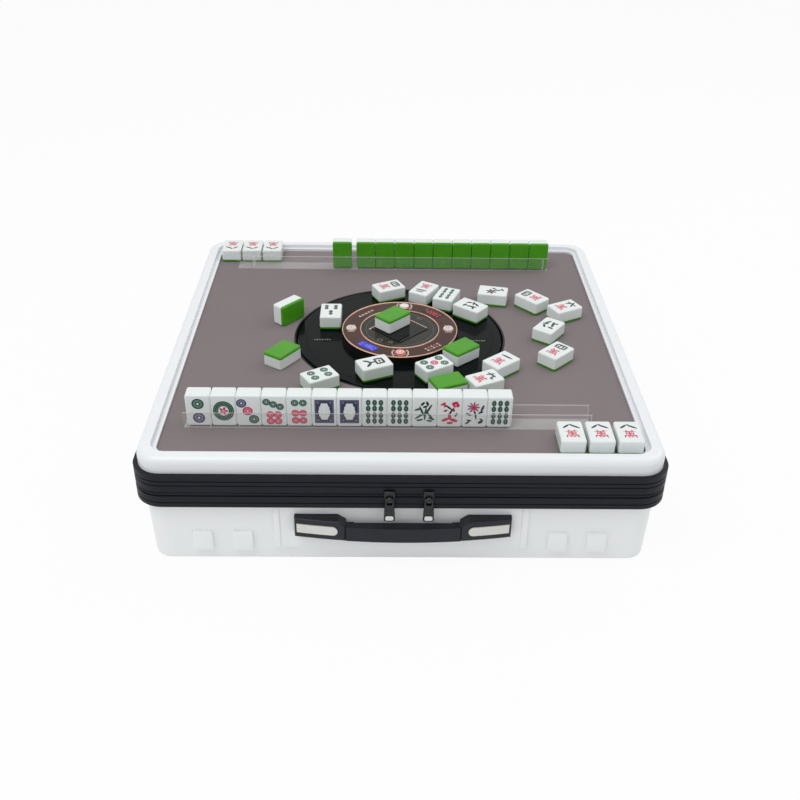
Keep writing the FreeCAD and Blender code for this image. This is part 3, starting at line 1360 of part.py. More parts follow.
def lift_screw():
    low = "%s + lift_motor_high + seat" % CHASSIS_TOP
    top = "%s - tube_gap" % TUBE_TOP
    return node(cylinder("lift_screw", "lift_screw_radius", "%s - (%s)" % (top, low), z=low))


# Power and control

def power_supply():
    low = CHASSIS_TOP
    body = doc.addObject("PartDesign::Body", "power_supply")
    base = body_solid(
        body, "supply_box", "AdditiveBox",
        "supply_left", "supply_front", low,
        Length="supply_long", Width="supply_wide", Height="supply_high")
    fillet(body, "supply_round_edges", base, "supply_round", at_height("%s + supply_high" % low))
    return node(body)


def control_board():
    left = "-chassis_half"
    front = "chassis_half - supply_wide"
    low = "%s + stand_off" % CHASSIS_TOP
    top = "%s + circuit_thick" % low
    parts = [
        box("circuit", "supply_long", "supply_wide", "circuit_thick", left, front, low),
        block("main_chip", "chip_side", "chip_side", "chip_high + seat",
              "%s + supply_long / 2" % left, "%s + supply_wide / 2" % front, "%s - seat" % top),
        block("driver_chip", "chip_side", "chip_side / 2", "chip_high + seat",
              "%s + supply_long / 2" % left, "%s + supply_wide - chip_side / 2" % front, "%s - seat" % top),
    ]
    for number in range(3):
        parts.append(cylinder(
            "capacitor_%d" % number, "can_radius", "can_high + seat",
            "%s + can_radius * 2" % left, "%s + can_radius * (3 * %d + 2)" % (front, number),
            "%s - seat" % top))
    return node(fuse("control_board", *parts))


INLET_FACE = PANEL_FACE
INLET_BACK = "%s - inlet_deep" % PANEL_FACE
ROCKER_X = "inlet_centre + inlet_long / 4"
ROCKER_Y = "%s - rocker_face + inlet_flange" % PANEL_FACE
SOCKET_X = "inlet_centre - inlet_long / 5"


def power_inlet():
    """The inlet and the frame of its switch, in one moulding."""
    flange = block(
        "inlet_flange_plate", "inlet_long", "inlet_flange", "inlet_high",
        "inlet_centre", "%s + inlet_flange / 2" % PANEL_FACE, "inlet_height - inlet_high / 2")
    core = block(
        "inlet_core", "inlet_long - inlet_edge * 2", "inlet_deep + inlet_flange / 2",
        "inlet_high - inlet_edge * 2", "inlet_centre",
        "%s - inlet_deep / 2 + inlet_flange / 4" % PANEL_FACE,
        "inlet_height - inlet_high / 2 + inlet_edge")
    socket = block(
        "inlet_socket", "socket_long", "socket_deep + overrun", "socket_tall",
        SOCKET_X, "%s + inlet_flange + overrun / 2 - socket_deep / 2" % PANEL_FACE,
        "inlet_height - socket_tall / 2")
    half = "rocker_half + rocker_room"
    room = block(
        "rocker_recess", "rocker_wide + slip * 2", "rocker_half + overrun * 2", "(%s) * 2" % half,
        ROCKER_X, "%s + inlet_flange + overrun - (rocker_half + overrun * 2) / 2" % PANEL_FACE,
        "inlet_height - (%s)" % half)
    pin_long = "rocker_wide + rocker_pin_long * 2 + seat * 2"
    pin = cylinder(
        "rocker_pin_hole", "rocker_pin + pivot_slip", pin_long,
        "%s - (%s) / 2" % (ROCKER_X, pin_long), ROCKER_Y, "inlet_height", ALONG_X)
    blades = []
    for number in (-1, 0, 1):
        blades.append(block(
            "blade_%d" % (number + 1), "blade_thick", "blade_out", "blade_long",
            "%s + blade_long * %d" % (SOCKET_X, number),
            "%s + inlet_flange - socket_deep + blade_out / 2 - seat" % PANEL_FACE,
            "inlet_height - blade_long / 2"))
    moulding = cut("inlet_moulding", fuse("inlet_solid", flange, core), socket, room, pin)
    return node(fuse("power_inlet", moulding, *blades))


def power_rocker():
    """The rocker, drawn in its off position: its lower half is flush, its upper half leans out."""
    body = doc.addObject("PartDesign::Body", "rocker_body")
    back = "-rocker_face"
    points = [
        (back, "-rocker_half"), ("rocker_face", "-rocker_half"), ("rocker_face", "0"),
        ("rocker_face + rocker_lean", "rocker_half"), (back, "rocker_half"),
    ]
    drawing = outline(body, "rocker_outline", "YZ_Plane", points)
    pad(body, "rocker_pad", drawing, "rocker_wide")
    put(body, "%s - rocker_wide / 2" % ROCKER_X, ROCKER_Y, "inlet_height")
    pin_long = "rocker_wide + rocker_pin_long * 2"
    pin = cylinder(
        "rocker_pin_bar", "rocker_pin", pin_long,
        "%s - (%s) / 2" % (ROCKER_X, pin_long), ROCKER_Y, "inlet_height", ALONG_X)
    return node(fuse("power_rocker", body, pin))


def held_cable(points, radius, bend):
    """A cable along straight runs, joined by arcs of one radius."""
    edges = []
    start = points[0]
    for before, corner, after in zip(points, points[1:], points[2:]):
        arrive = (corner - before).normalize()
        leave = (after - corner).normalize()
        turn = arrive.getAngle(leave)
        set_back = bend * math.tan(turn / 2)
        first = corner - arrive * set_back
        last = corner + leave * set_back
        inward = (leave - arrive).normalize()
        middle = corner + inward * (bend / math.cos(turn / 2) - bend)
        edges.append(Part.LineSegment(start, first).toShape())
        edges.append(Part.Arc(first, middle, last).toShape())
        start = last
    edges.append(Part.LineSegment(start, points[-1]).toShape())
    path = Part.Wire(edges)
    ring = Part.Wire([Part.Circle(points[0], points[1] - points[0], radius).toShape()])
    return path.makePipeShell([ring], True, False)


def wiring_loom():
    """Cables between the supply, the board and the two motors, held along the chassis."""
    radius = size("loom_radius")
    bend = size("loom_bend")
    lie = size("%s + loom_radius" % CHASSIS_TOP)
    back = size("chassis_half - supply_wide / 6")
    plug = size("plug_long")
    supply = size("supply_left")
    board_end = size("-chassis_half + supply_long + plug_long + seat")
    left = size("-chassis_half + plug_long")
    front = size("chassis_half - supply_wide")
    motor = size("motor_place")
    motor_face = size("-motor_place - motor_radius")
    high = size("%s + bracket_high + motor_high / 2" % CHASSIS_TOP)
    cables = [
        held_cable([Vector(supply, back, lie), Vector(board_end, back, lie)], radius, bend),
        held_cable(
            [Vector(left, front - plug, lie), Vector(left, -motor, lie),
             Vector(left, -motor, high), Vector(motor_face, -motor, high)], radius, bend),
    ]
    inlet_back = size(INLET_BACK)
    supply_back = size("supply_front + supply_wide")
    inlet_x = size("inlet_centre")
    inlet_z = size("inlet_height - inlet_high / 4")
    for side in (-1, 1):
        x = inlet_x + side * 4 * radius
        cables.append(held_cable(
            [Vector(x, inlet_back, inlet_z), Vector(x, supply_back, inlet_z)], radius / 2, bend))
    plugs = []
    for x, y in ((board_end - plug, back - plug / 2), (left - plug / 2, front - plug)):
        plugs.append(Part.makeBox(plug, plug, size("plug_high"), Vector(x, y, size(CHASSIS_TOP))))
    loom = doc.addObject("Part::Feature", "wiring_loom")
    loom.Shape = Part.makeCompound(cables + plugs)
    return node(loom)


# Racks and tiles

RACK_DEEP = "tile_thick + rack_room * 2 + rack_wall * 2"
FRONT_RACK_Y = "-mat_half + front_rack_back"
REAR_RACK_Y = "mat_half - rear_rack_back - (%s)" % RACK_DEEP
FRONT_RACK_X = "-mat_half + front_rack_start"
REAR_RACK_X = "-mat_half + rear_rack_start"


def rack(name, x, y):
    """A clear channel that a row of tiles stands in."""
    outside = box(name + "_outside", "rack_long", RACK_DEEP, "rack_high", x, y, "mat_height + seat")
    inside = box(
        name + "_inside", "rack_long + overrun * 2", "tile_thick + rack_room * 2", "rack_high",
        "%s - overrun" % x, "%s + rack_wall" % y, "mat_height + seat + rack_wall")
    return node(cut(name, outside, inside))


def tile_masters():
    """One tile, lying with its face up: the white block and the coloured back."""
    body = slab(
        "whole_tile", "tile_long / 2", "tile_wide / 2", "tile_corner", "0", "tile_thick")
    pad_feature = body.Tip
    top = size("tile_thick")
    fillet(
        body, "whole_tile_round", pad_feature, "tile_round",
        lambda point: abs(point.z) < size("seat") or abs(point.z - top) < size("seat"))
    room = block("tile_back_room", "tile_long + overrun", "tile_wide + overrun", "tile_back", z="0")
    back = doc.addObject("Part::Common", "tile_back_layer")
    back.Base = body
    back.Tool = room
    white = cut("tile_white_block", body, room)
    doc.recompute()
    return white, back


def standing(x, y, z, facing):
    """A tile upright on its short side, its face towards the front or the back."""
    lift = Placement(Vector(), Rotation(Vector(0, 1, 0), 90))
    face = Placement(Vector(), about_z(-90 if facing == "front" else 90))
    return Placement(Vector(x, y, z), Rotation()).multiply(face).multiply(lift)


def lying(x, y, z, turn, lie):
    """A tile lying face up, back up, or standing on its long side."""
    thick = size("tile_thick")
    spin = Placement(Vector(), about_z(turn))
    if lie == "face":
        own = Placement()
    elif lie == "back":
        own = Placement(Vector(0, 0, thick), Rotation(Vector(1, 0, 0), 180))
    else:
        own = Placement(Vector(0, thick / 2, size("tile_wide") / 2), Rotation(Vector(1, 0, 0), 90))
        own = Placement(Vector(), about_z(180)).multiply(own)
    return Placement(Vector(x, y, z), Rotation()).multiply(spin).multiply(own)


def polar_places(rows, start, end, level):
    """Places of loose tiles, by azimuth and by the share of the way out."""
    for azimuth, turn, lie, share in rows:
        radius = start + share * (end - start)
        angle = math.radians(azimuth)
        yield lying(radius * math.cos(angle), radius * math.sin(angle), level, turn, lie)


def tile_set(name, masters, places):
    """All tiles of one set, as a group of white blocks and a group of backs."""
    for master, suffix in zip(masters, ("tiles", "backs")):
        copies = []
        for place in places:
            copy = master.Shape.copy()
            copy.Placement = place.multiply(copy.Placement)
            copies.append(copy)
        set_node = doc.addObject("Part::Feature", "%s_%s" % (name, suffix))
        set_node.Shape = Part.makeCompound(copies)
        node(set_node)


def front_row_places():
    wide = size("tile_wide")
    y = size("%s + rack_wall + rack_room + tile_thick" % FRONT_RACK_Y)
    z = size("mat_height + seat + rack_wall + tile_long / 2")
    for number in range(FRONT_ROW_TILES):
        x = size(FRONT_RACK_X) + size("front_row_start") + wide * (number + 1 / 2)
        yield standing(x, y, z, "front")


def rear_row_places():
    wide = size("tile_wide")
    step = size("rear_row_step")
    y = size("%s + rack_wall + rack_room" % REAR_RACK_Y)
    z = size("mat_height + seat + rack_wall + tile_long / 2")
    last = size("%s + rack_long - rear_row_end" % REAR_RACK_X) - wide / 2
    for number in range(REAR_ROW_TILES):
        x = last - step * number
        if number == REAR_ROW_TILES - 1:
            x = x - size("rear_row_gap")
        yield standing(x, y, z, "back")


def mat_places():
    level = size("mat_height")
    edge = size("mat_half")
    places = list(polar_places(MAT_TILE_SHARES, size(WELL_OUTER), edge, level))
    wide = size("tile_wide")
    y = edge - size("trio_gap + tile_long / 2")
    for number in range(3):
        x = edge - size("trio_edge") - wide / 2 - number * size("trio_step")
        places.append(lying(x, -y, level, 90, "face"))
        x = -edge + size("trio_edge") + wide / 2 + number * size("rear_trio_step")
        places.append(lying(x, y, level, -90, "face"))
    return places


def disc_places():
    level = size("disc_height")
    places = list(polar_places(DISC_TILE_SHARES, size("console_radius"), size("disc_radius"), level))
    x, y = (share * size("window_half") for share in WINDOW_TILE_SHARES)
    places.append(lying(x, y, size(WINDOW_TOP), WINDOW_TILE_TURN, "back"))
    return places


lower_shell()
rubber_feet()
bands()
zip_slider("left_zip_slider", "pull_left")
zip_slider("right_zip_slider", "pull_right")
zip_pull("left_zip_pull", "pull_left")
zip_pull("right_zip_pull", "pull_right")
handle_ends()
handle_inserts()
handle_strap()
hinges()
rim_frame()
deck_board()
deck_screws()
table_mat()
well_ring()
disc_carrier()
lift_tube()
lift_disc()
disc_rim()
console_housing()
console_bezels()
dial_glass()
dice_window()
led_displays()
console_board()
buttons()
chassis_plate()
chassis_screws()
hub_post()
turntable_bearing()
turntable_hub()
turntable_plate()
drum_bowl()
motor_pulley()
motor_bracket()
drive_motor()
drive_belt()
lift_motor()
lift_screw()
power_supply()
control_board()
power_inlet()
power_rocker()
wiring_loom()
rack("front_rack", FRONT_RACK_X, FRONT_RACK_Y)
rack("rear_rack", REAR_RACK_X, REAR_RACK_Y)
masters = tile_masters()
tile_set("front_row", masters, list(front_row_places()))
tile_set("rear_row", masters, list(rear_row_places()))
tile_set("mat", masters, mat_places())
tile_set("disc", masters, disc_places())

doc.recompute()
failed = [thing.Label for thing in doc.Objects if "Invalid" in thing.State or "Error" in thing.State]
if failed:
    raise RuntimeError("failed: %s" % failed)
os.makedirs("parts", exist_ok=True)
for piece in NODES:
    if piece.Shape.isNull() or not piece.Shape.isValid():
        raise RuntimeError("bad shape: %s" % piece.Label)
for piece in NODES:
    piece.Shape.exportStep("parts/%s.step" % piece.Label)
print("pieces", len(NODES), "solids", sum(len(piece.Shape.Solids) for piece in NODES))
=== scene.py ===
"""Looks of a portable tile game table built into a suitcase.

The file is laid out as an add-on and is run as a script. Sizes are in millimetres in the tables
below and in metres in the scene. X runs to the right, Y away from the handle, Z up.
"""

import math

import bpy
from bpy.props import FloatProperty, FloatVectorProperty, IntProperty, PointerProperty
from mathutils import Matrix, Vector


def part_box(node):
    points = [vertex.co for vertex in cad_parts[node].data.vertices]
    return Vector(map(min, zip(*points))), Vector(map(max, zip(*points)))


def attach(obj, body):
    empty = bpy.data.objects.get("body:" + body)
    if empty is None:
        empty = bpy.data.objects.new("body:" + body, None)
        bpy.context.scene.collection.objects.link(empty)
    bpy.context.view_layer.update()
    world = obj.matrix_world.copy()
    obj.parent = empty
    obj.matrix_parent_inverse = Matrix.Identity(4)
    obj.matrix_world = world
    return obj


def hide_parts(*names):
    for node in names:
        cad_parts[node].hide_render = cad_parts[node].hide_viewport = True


bl_info = {
    "name": "Suitcase Game Table",
    "version": (1, 0, 0),
    "blender": (4, 5, 0),
    "location": "3D View > Sidebar > Game Table",
    "description": "Dresses the suitcase game table with its finishes, prints and small parts",
    "category": "Object",
}

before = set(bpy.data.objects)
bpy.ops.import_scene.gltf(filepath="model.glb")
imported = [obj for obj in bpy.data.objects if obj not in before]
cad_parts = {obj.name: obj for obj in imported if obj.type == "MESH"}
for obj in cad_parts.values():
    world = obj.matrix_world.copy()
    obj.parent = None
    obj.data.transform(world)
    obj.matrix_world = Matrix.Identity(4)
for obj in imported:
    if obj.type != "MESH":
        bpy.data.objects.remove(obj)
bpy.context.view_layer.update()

MM = 0.001


def edge(node, axis, end):
    """A limit of a CAD node in millimetres: axis 0, 1 or 2, end 0 for low or 1 for high."""
    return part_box(node)[end][axis] / MM


MAT_TOP = edge("table_mat", 2, 1)
MAT_EDGE = edge("table_mat", 0, 1) + 0.3
DISC_TOP = edge("disc_rim", 2, 1)
DISC_EDGE = edge("disc_rim", 0, 1)
WELL_EDGE = DISC_EDGE + 4
CONSOLE_TOP = edge("console_housing", 2, 1)
CONSOLE_EDGE = edge("console_housing", 0, 1)
DIAL_TOP = edge("dial_glass", 2, 1)
WINDOW_TOP = edge("dice_window", 2, 1)
SEAM = (edge("upper_band", 2, 0) + edge("lower_shell", 2, 1)) / 2
BAND_FACE = -edge("upper_band", 1, 0)
TAPE_FACE = BAND_FACE - 1.6
STRAIGHT_HALF = 238.5  # half of the straight run between two corners of the band
PANEL_FACE = 261.5
SLIDER_BACK = BAND_FACE + 0.3
SLIDER_DEEP = 2.9
PULL_AXIS = SLIDER_BACK + SLIDER_DEEP + 2.1
PULL_TOP = SEAM - 1.5
TILE = (25.7, 37.0, 17.0)
REAR_STEP = 25.9
REAR_GAP = 6.0
BUTTON_RING = 58
DISPLAY_RING = 57


def ink(red, green, blue):
    """A colour as it is mixed on screen, turned into the linear values that shaders take."""
    return tuple(
        value / 255 / 12.92 if value <= 10 else ((value / 255 + 0.055) / 1.055) ** 2.4
        for value in (red, green, blue)
    )


# What a user would change

def colour(name, description, red, green, blue):
    return FloatVectorProperty(
        name=name, description=description, subtype="COLOR", size=3, min=0, max=1,
        default=ink(red, green, blue))


class GameTableColours(bpy.types.PropertyGroup):
    shell: colour("Shell", "Moulded case", 247, 249, 249)
    rim: colour("Rim", "Moulded rim round the playing surface", 235, 237, 240)
    band: colour("Band", "Zipped band round the case", 12, 16, 25)
    handle: colour("Handle", "Moulded handle and grip", 15, 18, 28)
    mat: colour("Mat", "Pile of the playing surface", 131, 121, 122)
    disc: colour("Disc", "Polished disc in the middle", 11, 15, 16)
    console: colour("Console", "Bronze ring of the console", 66, 40, 33)
    dial: colour("Dial", "Glass inside the console", 38, 37, 30)
    trim: colour("Trim", "Metal rings and lines", 226, 180, 158)
    tile_face: colour("Tile face", "White part of a tile", 230, 236, 234)
    tile_back: colour("Tile back", "Coloured back of a tile", 74, 153, 29)
    display_blue: colour("Blue display", "Lit blue display", 30, 38, 196)
    display_red: colour("Red display", "Lit red figures", 205, 18, 40)
    print_green: colour("Green print", "Green print of the tiles", 34, 76, 62)
    print_red: colour("Red print", "Red print of the tiles", 206, 42, 84)
    print_navy: colour("Navy print", "Navy print of the tiles", 58, 60, 88)
    print_black: colour("Black print", "Black print of the tiles", 22, 34, 36)


class GameTableSizes(bpy.types.PropertyGroup):
    tooth_pitch: FloatProperty(
        name="Tooth pitch", description="From one tooth of a zip row to the next",
        default=2.6 * MM, min=1 * MM, max=6 * MM, unit="LENGTH")
    tooth_wide: FloatProperty(
        name="Tooth width", description="Width of a zip tooth along the seam",
        default=1.1 * MM, min=0.4 * MM, max=3 * MM, unit="LENGTH")
    print_raise: FloatProperty(
        name="Print height", description="How far the tile prints stand up",
        default=0.04 * MM, min=0.02 * MM, max=0.2 * MM, unit="LENGTH")
    print_points: IntProperty(
        name="Print points", description="Corners of a printed dot", default=20, min=8, max=48)
    grip_round: FloatProperty(
        name="Grip rounding", description="Rounding of the grip's edges",
        default=3.4 * MM, min=0.5 * MM, max=6 * MM, unit="LENGTH")
    lamp_power: FloatProperty(
        name="Lamp power", description="Power of the soft lamp over the table",
        default=15.0, min=0, unit="POWER")
    sky_strength: FloatProperty(
        name="Sky strength", description="Strength of the even light from all round",
        default=0.62, min=0, max=2)


# Tools for modelling

def mm(values):
    """Millimetres as a list of metres."""
    return [value * MM for value in values]


def pick(piece):
    bpy.ops.object.select_all(action="DESELECT")
    piece.select_set(True)
    bpy.context.view_layer.objects.active = piece


def named(name):
    piece = bpy.context.object
    piece.name = name
    piece.data.name = name
    return piece


def primitive(operator, name, centre=(0, 0, 0), **settings):
    """A primitive that is shaped further."""
    operator(location=mm(centre), **settings)
    return named(name)


def settle(piece):
    """Bring a piece's place into its mesh, so that its object sits at the origin."""
    pick(piece)
    bpy.ops.object.transform_apply(location=True, rotation=True, scale=True)
    return piece


def edit_all():
    bpy.ops.object.mode_set(mode="EDIT")
    bpy.ops.mesh.select_all(action="SELECT")


def modify(piece, kind, **settings):
    pick(piece)
    change = piece.modifiers.new(kind.title(), kind)
    for key, value in settings.items():
        setattr(change, key, value)
    bpy.ops.object.modifier_apply(modifier=change.name)
    return piece


def bevel(piece, width, segments=3, angle=30):
    return modify(
        piece, "BEVEL", width=width * MM, segments=segments, limit_method="ANGLE",
        angle_limit=math.radians(angle))


def bar(name, size, centre, width=0.5, segments=3, turn=(0, 0, 0)):
    """A bar with rounded edges, given by its size and centre."""
    piece = primitive(
        bpy.ops.mesh.primitive_cube_add, name, centre, size=1, rotation=turn, scale=mm(size))
    return bevel(settle(piece), width, segments)


def plate(name, wide, high, deep, centre, corner, width=0.4):
    """A flat plate that faces the front, with round corners and softened edges."""
    piece = primitive(
        bpy.ops.mesh.primitive_plane_add, name, centre, size=1, rotation=(math.pi / 2, 0, 0))
    piece.scale = (wide * MM, high * MM, 1)
    settle(piece)
    edit_all()
    bpy.ops.mesh.bevel(offset=corner * MM, segments=6, affect="VERTICES")
    bpy.ops.object.mode_set(mode="OBJECT")
    modify(piece, "SOLIDIFY", thickness=deep * MM, offset=0)
    return bevel(piece, width, 2)


def round_bar(name, radius, length, centre, turn, width=0.2):
    """A round bar with softened ends."""
    piece = primitive(
        bpy.ops.mesh.primitive_cylinder_add, name, centre, vertices=24, radius=radius * MM,
        depth=length * MM, rotation=turn)
    return bevel(settle(piece), width, 2, 60)


def join(name, pieces):
    bpy.ops.object.select_all(action="DESELECT")
    for piece in pieces:
        piece.select_set(True)
    bpy.context.view_layer.objects.active = pieces[0]
    if len(pieces) > 1:
        bpy.ops.object.join()
    return named(name)


def copy(master, matrix):
    """A copy of a piece with a mesh of its own, put in place by a matrix."""
    other = bpy.data.objects.new(master.name + "_copy", master.data.copy())
    bpy.context.scene.collection.objects.link(other)
    other.data.transform(matrix)
    return other


def drop(piece):
    data = piece.data
    bpy.data.objects.remove(piece)
    bpy.data.meshes.remove(data)


def smooth(piece, angle=35):
    pick(piece)
    bpy.ops.object.shade_smooth_by_angle(angle=math.radians(angle))
    return piece


def give(piece, body, slot, *materials):
    """Dress a finished piece and hang it on its CAD body."""
    if materials:
        piece.data.materials.clear()
        for material in materials:
            piece.data.materials.append(material)
    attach(piece, body)
    return piece


# Finishes

def add(tree, kind, **settings):
    made = tree.nodes.new(kind)
    for key, value in settings.items():
        setattr(made, key, value)
    return made


def put(made, **values):
    """Set inputs of a node by name, with underscores for spaces."""
    for name, value in values.items():
        made.inputs[name.replace("_", " ")].default_value = value
    return made


def feed(tree, slot, value):
    """Link a socket to an input, or set a plain value there."""
    if isinstance(value, bpy.types.NodeSocket):
        tree.links.new(value, slot)
    else:
        slot.default_value = value


def maths(tree, operation, *values):
    made = add(tree, "ShaderNodeMath", operation=operation)
    for slot, value in zip(made.inputs, values):
        feed(tree, slot, value)
    return made.outputs[0]


def largest(tree, values):
    found = values[0]
    for value in values[1:]:
        found = maths(tree, "MAXIMUM", found, value)
    return found


def mixed(tree, share, first, second, **settings):
    """A mix of two colours, each a socket or a plain colour."""
    mix = add(tree, "ShaderNodeMix", data_type="RGBA", **settings)
    for number, value in ((0, share), (6, first), (7, second)):
        feed(tree, mix.inputs[number], value)
    return mix.outputs[2]


def noise(tree, place, scale, detail=3.0):
    texture = put(add(tree, "ShaderNodeTexNoise"), Scale=scale, Detail=detail)
    tree.links.new(place, texture.inputs["Vector"])
    return texture.outputs["Fac"]


def spread_of(tree, source, low, high, start=0.3, end=0.7):
    """The middle of a pattern's range, spread between two values."""
    ramp = put(
        add(tree, "ShaderNodeMapRange"), From_Min=start, From_Max=end, To_Min=low, To_Max=high)
    tree.links.new(source, ramp.inputs["Value"])
    return ramp.outputs["Result"]


def bumped(tree, height, depth, normal=None):
    bump = put(add(tree, "ShaderNodeBump"), Strength=1, Distance=depth)
    tree.links.new(height, bump.inputs["Height"])
    if normal:
        tree.links.new(normal, bump.inputs["Normal"])
    return bump.outputs["Normal"]


def woven(tree, place, pitch):
    """Threads that cross at right angles on each of the three main planes."""
    ridges = []
    for direction in "XYZ":
        wave = put(
            add(tree, "ShaderNodeTexWave", bands_direction=direction), Scale=0.314 / pitch,
            Distortion=0.4, Detail=1.0)
        tree.links.new(place, wave.inputs["Vector"])
        ridges.append(wave.outputs["Fac"])
    total = maths(tree, "ADD", maths(tree, "ADD", *ridges[:2]), ridges[2])
    return maths(tree, "MULTIPLY", total, 1 / 3)


def finish(
        name, base, rough, metal=0.0, coat=0.0, cloud=(30, 0.03), smear=(60, 0.04),
        grain=(1500, 0.00001), stretch=(1, 1, 1), weave=None, alpha=1.0, glow=0.0, gloss=0.5,
        fleck=None):
    """A material whose colour, gloss and relief vary over the surface.

    cloud, smear and fleck are a pattern's scale and how much it changes colour or gloss; grain
    is a scale and a depth in metres, and weave the pitch of threads in metres and a depth.
    """
    material = bpy.data.materials.new(name)
    material.use_nodes = True
    tree = material.node_tree
    shader = tree.nodes["Principled BSDF"]
    mapping = put(add(tree, "ShaderNodeMapping"), Scale=stretch)
    tree.links.new(
        add(tree, "ShaderNodeTexCoord").outputs["Object"], mapping.inputs["Vector"])
    place = mapping.outputs["Vector"]
    dark, light = (
        (*[min(1, max(0, value * share)) for value in base], 1)
        for share in (1 - cloud[1], 1 + cloud[1]))
    tint = mixed(tree, spread_of(tree, noise(tree, place, cloud[0]), 0, 1), dark, light)
    if fleck:
        dots = spread_of(tree, noise(tree, place, fleck[0], 1.0), 1 - fleck[1], 1 + fleck[1])
        level = add(tree, "ShaderNodeCombineColor")
        for channel in range(3):
            tree.links.new(dots, level.inputs[channel])
        tint = mixed(tree, 1, tint, level.outputs[0], blend_type="MULTIPLY")
    tree.links.new(tint, shader.inputs["Base Color"])
    worn = spread_of(
        tree, noise(tree, place, smear[0]), max(0.02, rough - smear[1]), min(1, rough + smear[1]))
    tree.links.new(worn, shader.inputs["Roughness"])
    normal = bumped(tree, noise(tree, place, grain[0], 2.0), grain[1])
    if weave:
        normal = bumped(tree, woven(tree, place, weave[0]), weave[1], normal)
    tree.links.new(normal, shader.inputs["Normal"])
    put(shader, Metallic=metal, Coat_Weight=coat, Coat_Roughness=0.08, Alpha=alpha,
        Specular_IOR_Level=gloss)
    if glow:
        put(shader, Emission_Color=(*base, 1), Emission_Strength=glow)
    return material


def zone(material, tests, base=None, alpha=None):
    """Give a finish another colour or see-through share where a coordinate lies in a range.

    tests holds an axis, a low and a high limit in millimetres for each range.
    """
    tree = material.node_tree
    shader = tree.nodes["Principled BSDF"]
    place = add(tree, "ShaderNodeSeparateXYZ")
    tree.links.new(add(tree, "ShaderNodeTexCoord").outputs["Object"], place.inputs[0])
    inside = largest(tree, [
        maths(tree, "COMPARE", place.outputs[axis], (low + high) / 2 * MM, (high - low) / 2 * MM)
        for axis, low, high in tests])
    if base:
        under = shader.inputs["Base Color"].links[0].from_socket
        tree.links.new(mixed(tree, inside, under, (*base, 1)), shader.inputs["Base Color"])
    if alpha is not None:
        before = shader.inputs["Alpha"].default_value
        tree.links.new(spread_of(tree, inside, before, alpha, 0, 1), shader.inputs["Alpha"])
    return material


def kept(name, *args, **settings):
    """The finish of that name, made at its first use."""
    return bpy.data.materials.get(name) or finish(name, *args, **settings)


def print_finishes():
    tints = bpy.context.scene.game_table_colours
    table = (
        ("Green print", tints.print_green), ("Red print", tints.print_red),
        ("Navy print", tints.print_navy), ("Black print", tints.print_black),
        ("White print", tints.tile_face), ("Pale green print", ink(96, 134, 118)),
        ("Pale red print", ink(226, 122, 150)), ("Pale navy print", ink(122, 128, 158)),
    )
    return [
        kept(name, value, 0.3, cloud=(900, 0.12), grain=(2500, 0.000004)) for name, value in table]


# Marks of the tiles, in millimetres on the face of a tile: ink, kind, across, up, half width,
# half height and turn. Kind "o" is round, "s" a stick with cut corners, "b" a block with four
# corners and "h" one with six.

GREEN, RED, NAVY, BLACK, WHITE, PALE, PALE_RED, PALE_NAVY = range(8)


def around(count, radius, x=0, y=0, start=0):
    """Angle and place of each of a number of marks evenly round a point."""
    for step in range(count):
        angle = 360 / count * step + start
        turn = math.radians(angle)
        yield angle, x + radius * math.cos(turn), y + radius * math.sin(turn)


def dot(x, y, radius, tone):
    """A round mark of rings, from the outside in."""
    pale = {GREEN: PALE, RED: PALE_RED, NAVY: PALE_NAVY}[tone]
    rings = ((tone, 1.0), (pale, 0.74), (tone, 0.42), (WHITE, 0.2))
    return [(ink_of, "o", x, y, radius * part, radius * part, 0) for ink_of, part in rings]


def stick(x, y, half, wide, tone=GREEN):
    """A bamboo stick of two joints."""
    return [
        (ink_of, "s", x, y + side * half * 0.52, part * wide, half * long, 0)
        for ink_of, part, long in ((tone, 1, 0.5), (PALE, 0.24, 0.3)) for side in (-1, 1)
    ]


def repeated(shape, places, *settings):
    """The same dot or stick at a number of places."""
    return [mark for x, y in places for mark in shape(x, y, *settings)]


def strokes(tone, kind, *places):
    """Marks of one ink and kind, each given by its place, half size and turn."""
    return [(tone, kind, *place) for place in places]


def lattice(y):
    """The knotted ornament below a number."""
    return strokes(
        RED, "s", (0, y + 4.6, 6.4, 0.7, 4), (-2.9, y + 5.4, 0.7, 2.0, 8),
        (2.9, y + 5.4, 0.7, 2.0, -8), (0, y + 2.2, 4.0, 0.65, 0), (0, y + 0.2, 4.0, 0.65, 0),
        (-3.8, y + 1.2, 0.65, 1.7, 0), (3.8, y + 1.2, 0.65, 1.7, 0), (0, y + 0.4, 0.7, 4.4, 0),
        (0, y - 2.2, 6.6, 0.75, 3), (-5.4, y - 4.0, 0.7, 2.2, -18), (5.6, y - 3.8, 0.8, 2.4, 20),
        (2.0, y - 4.4, 2.2, 0.6, 35),
    ) + strokes(RED, "o", (-1.6, y - 4.6, 1.2, 1.0, 0))


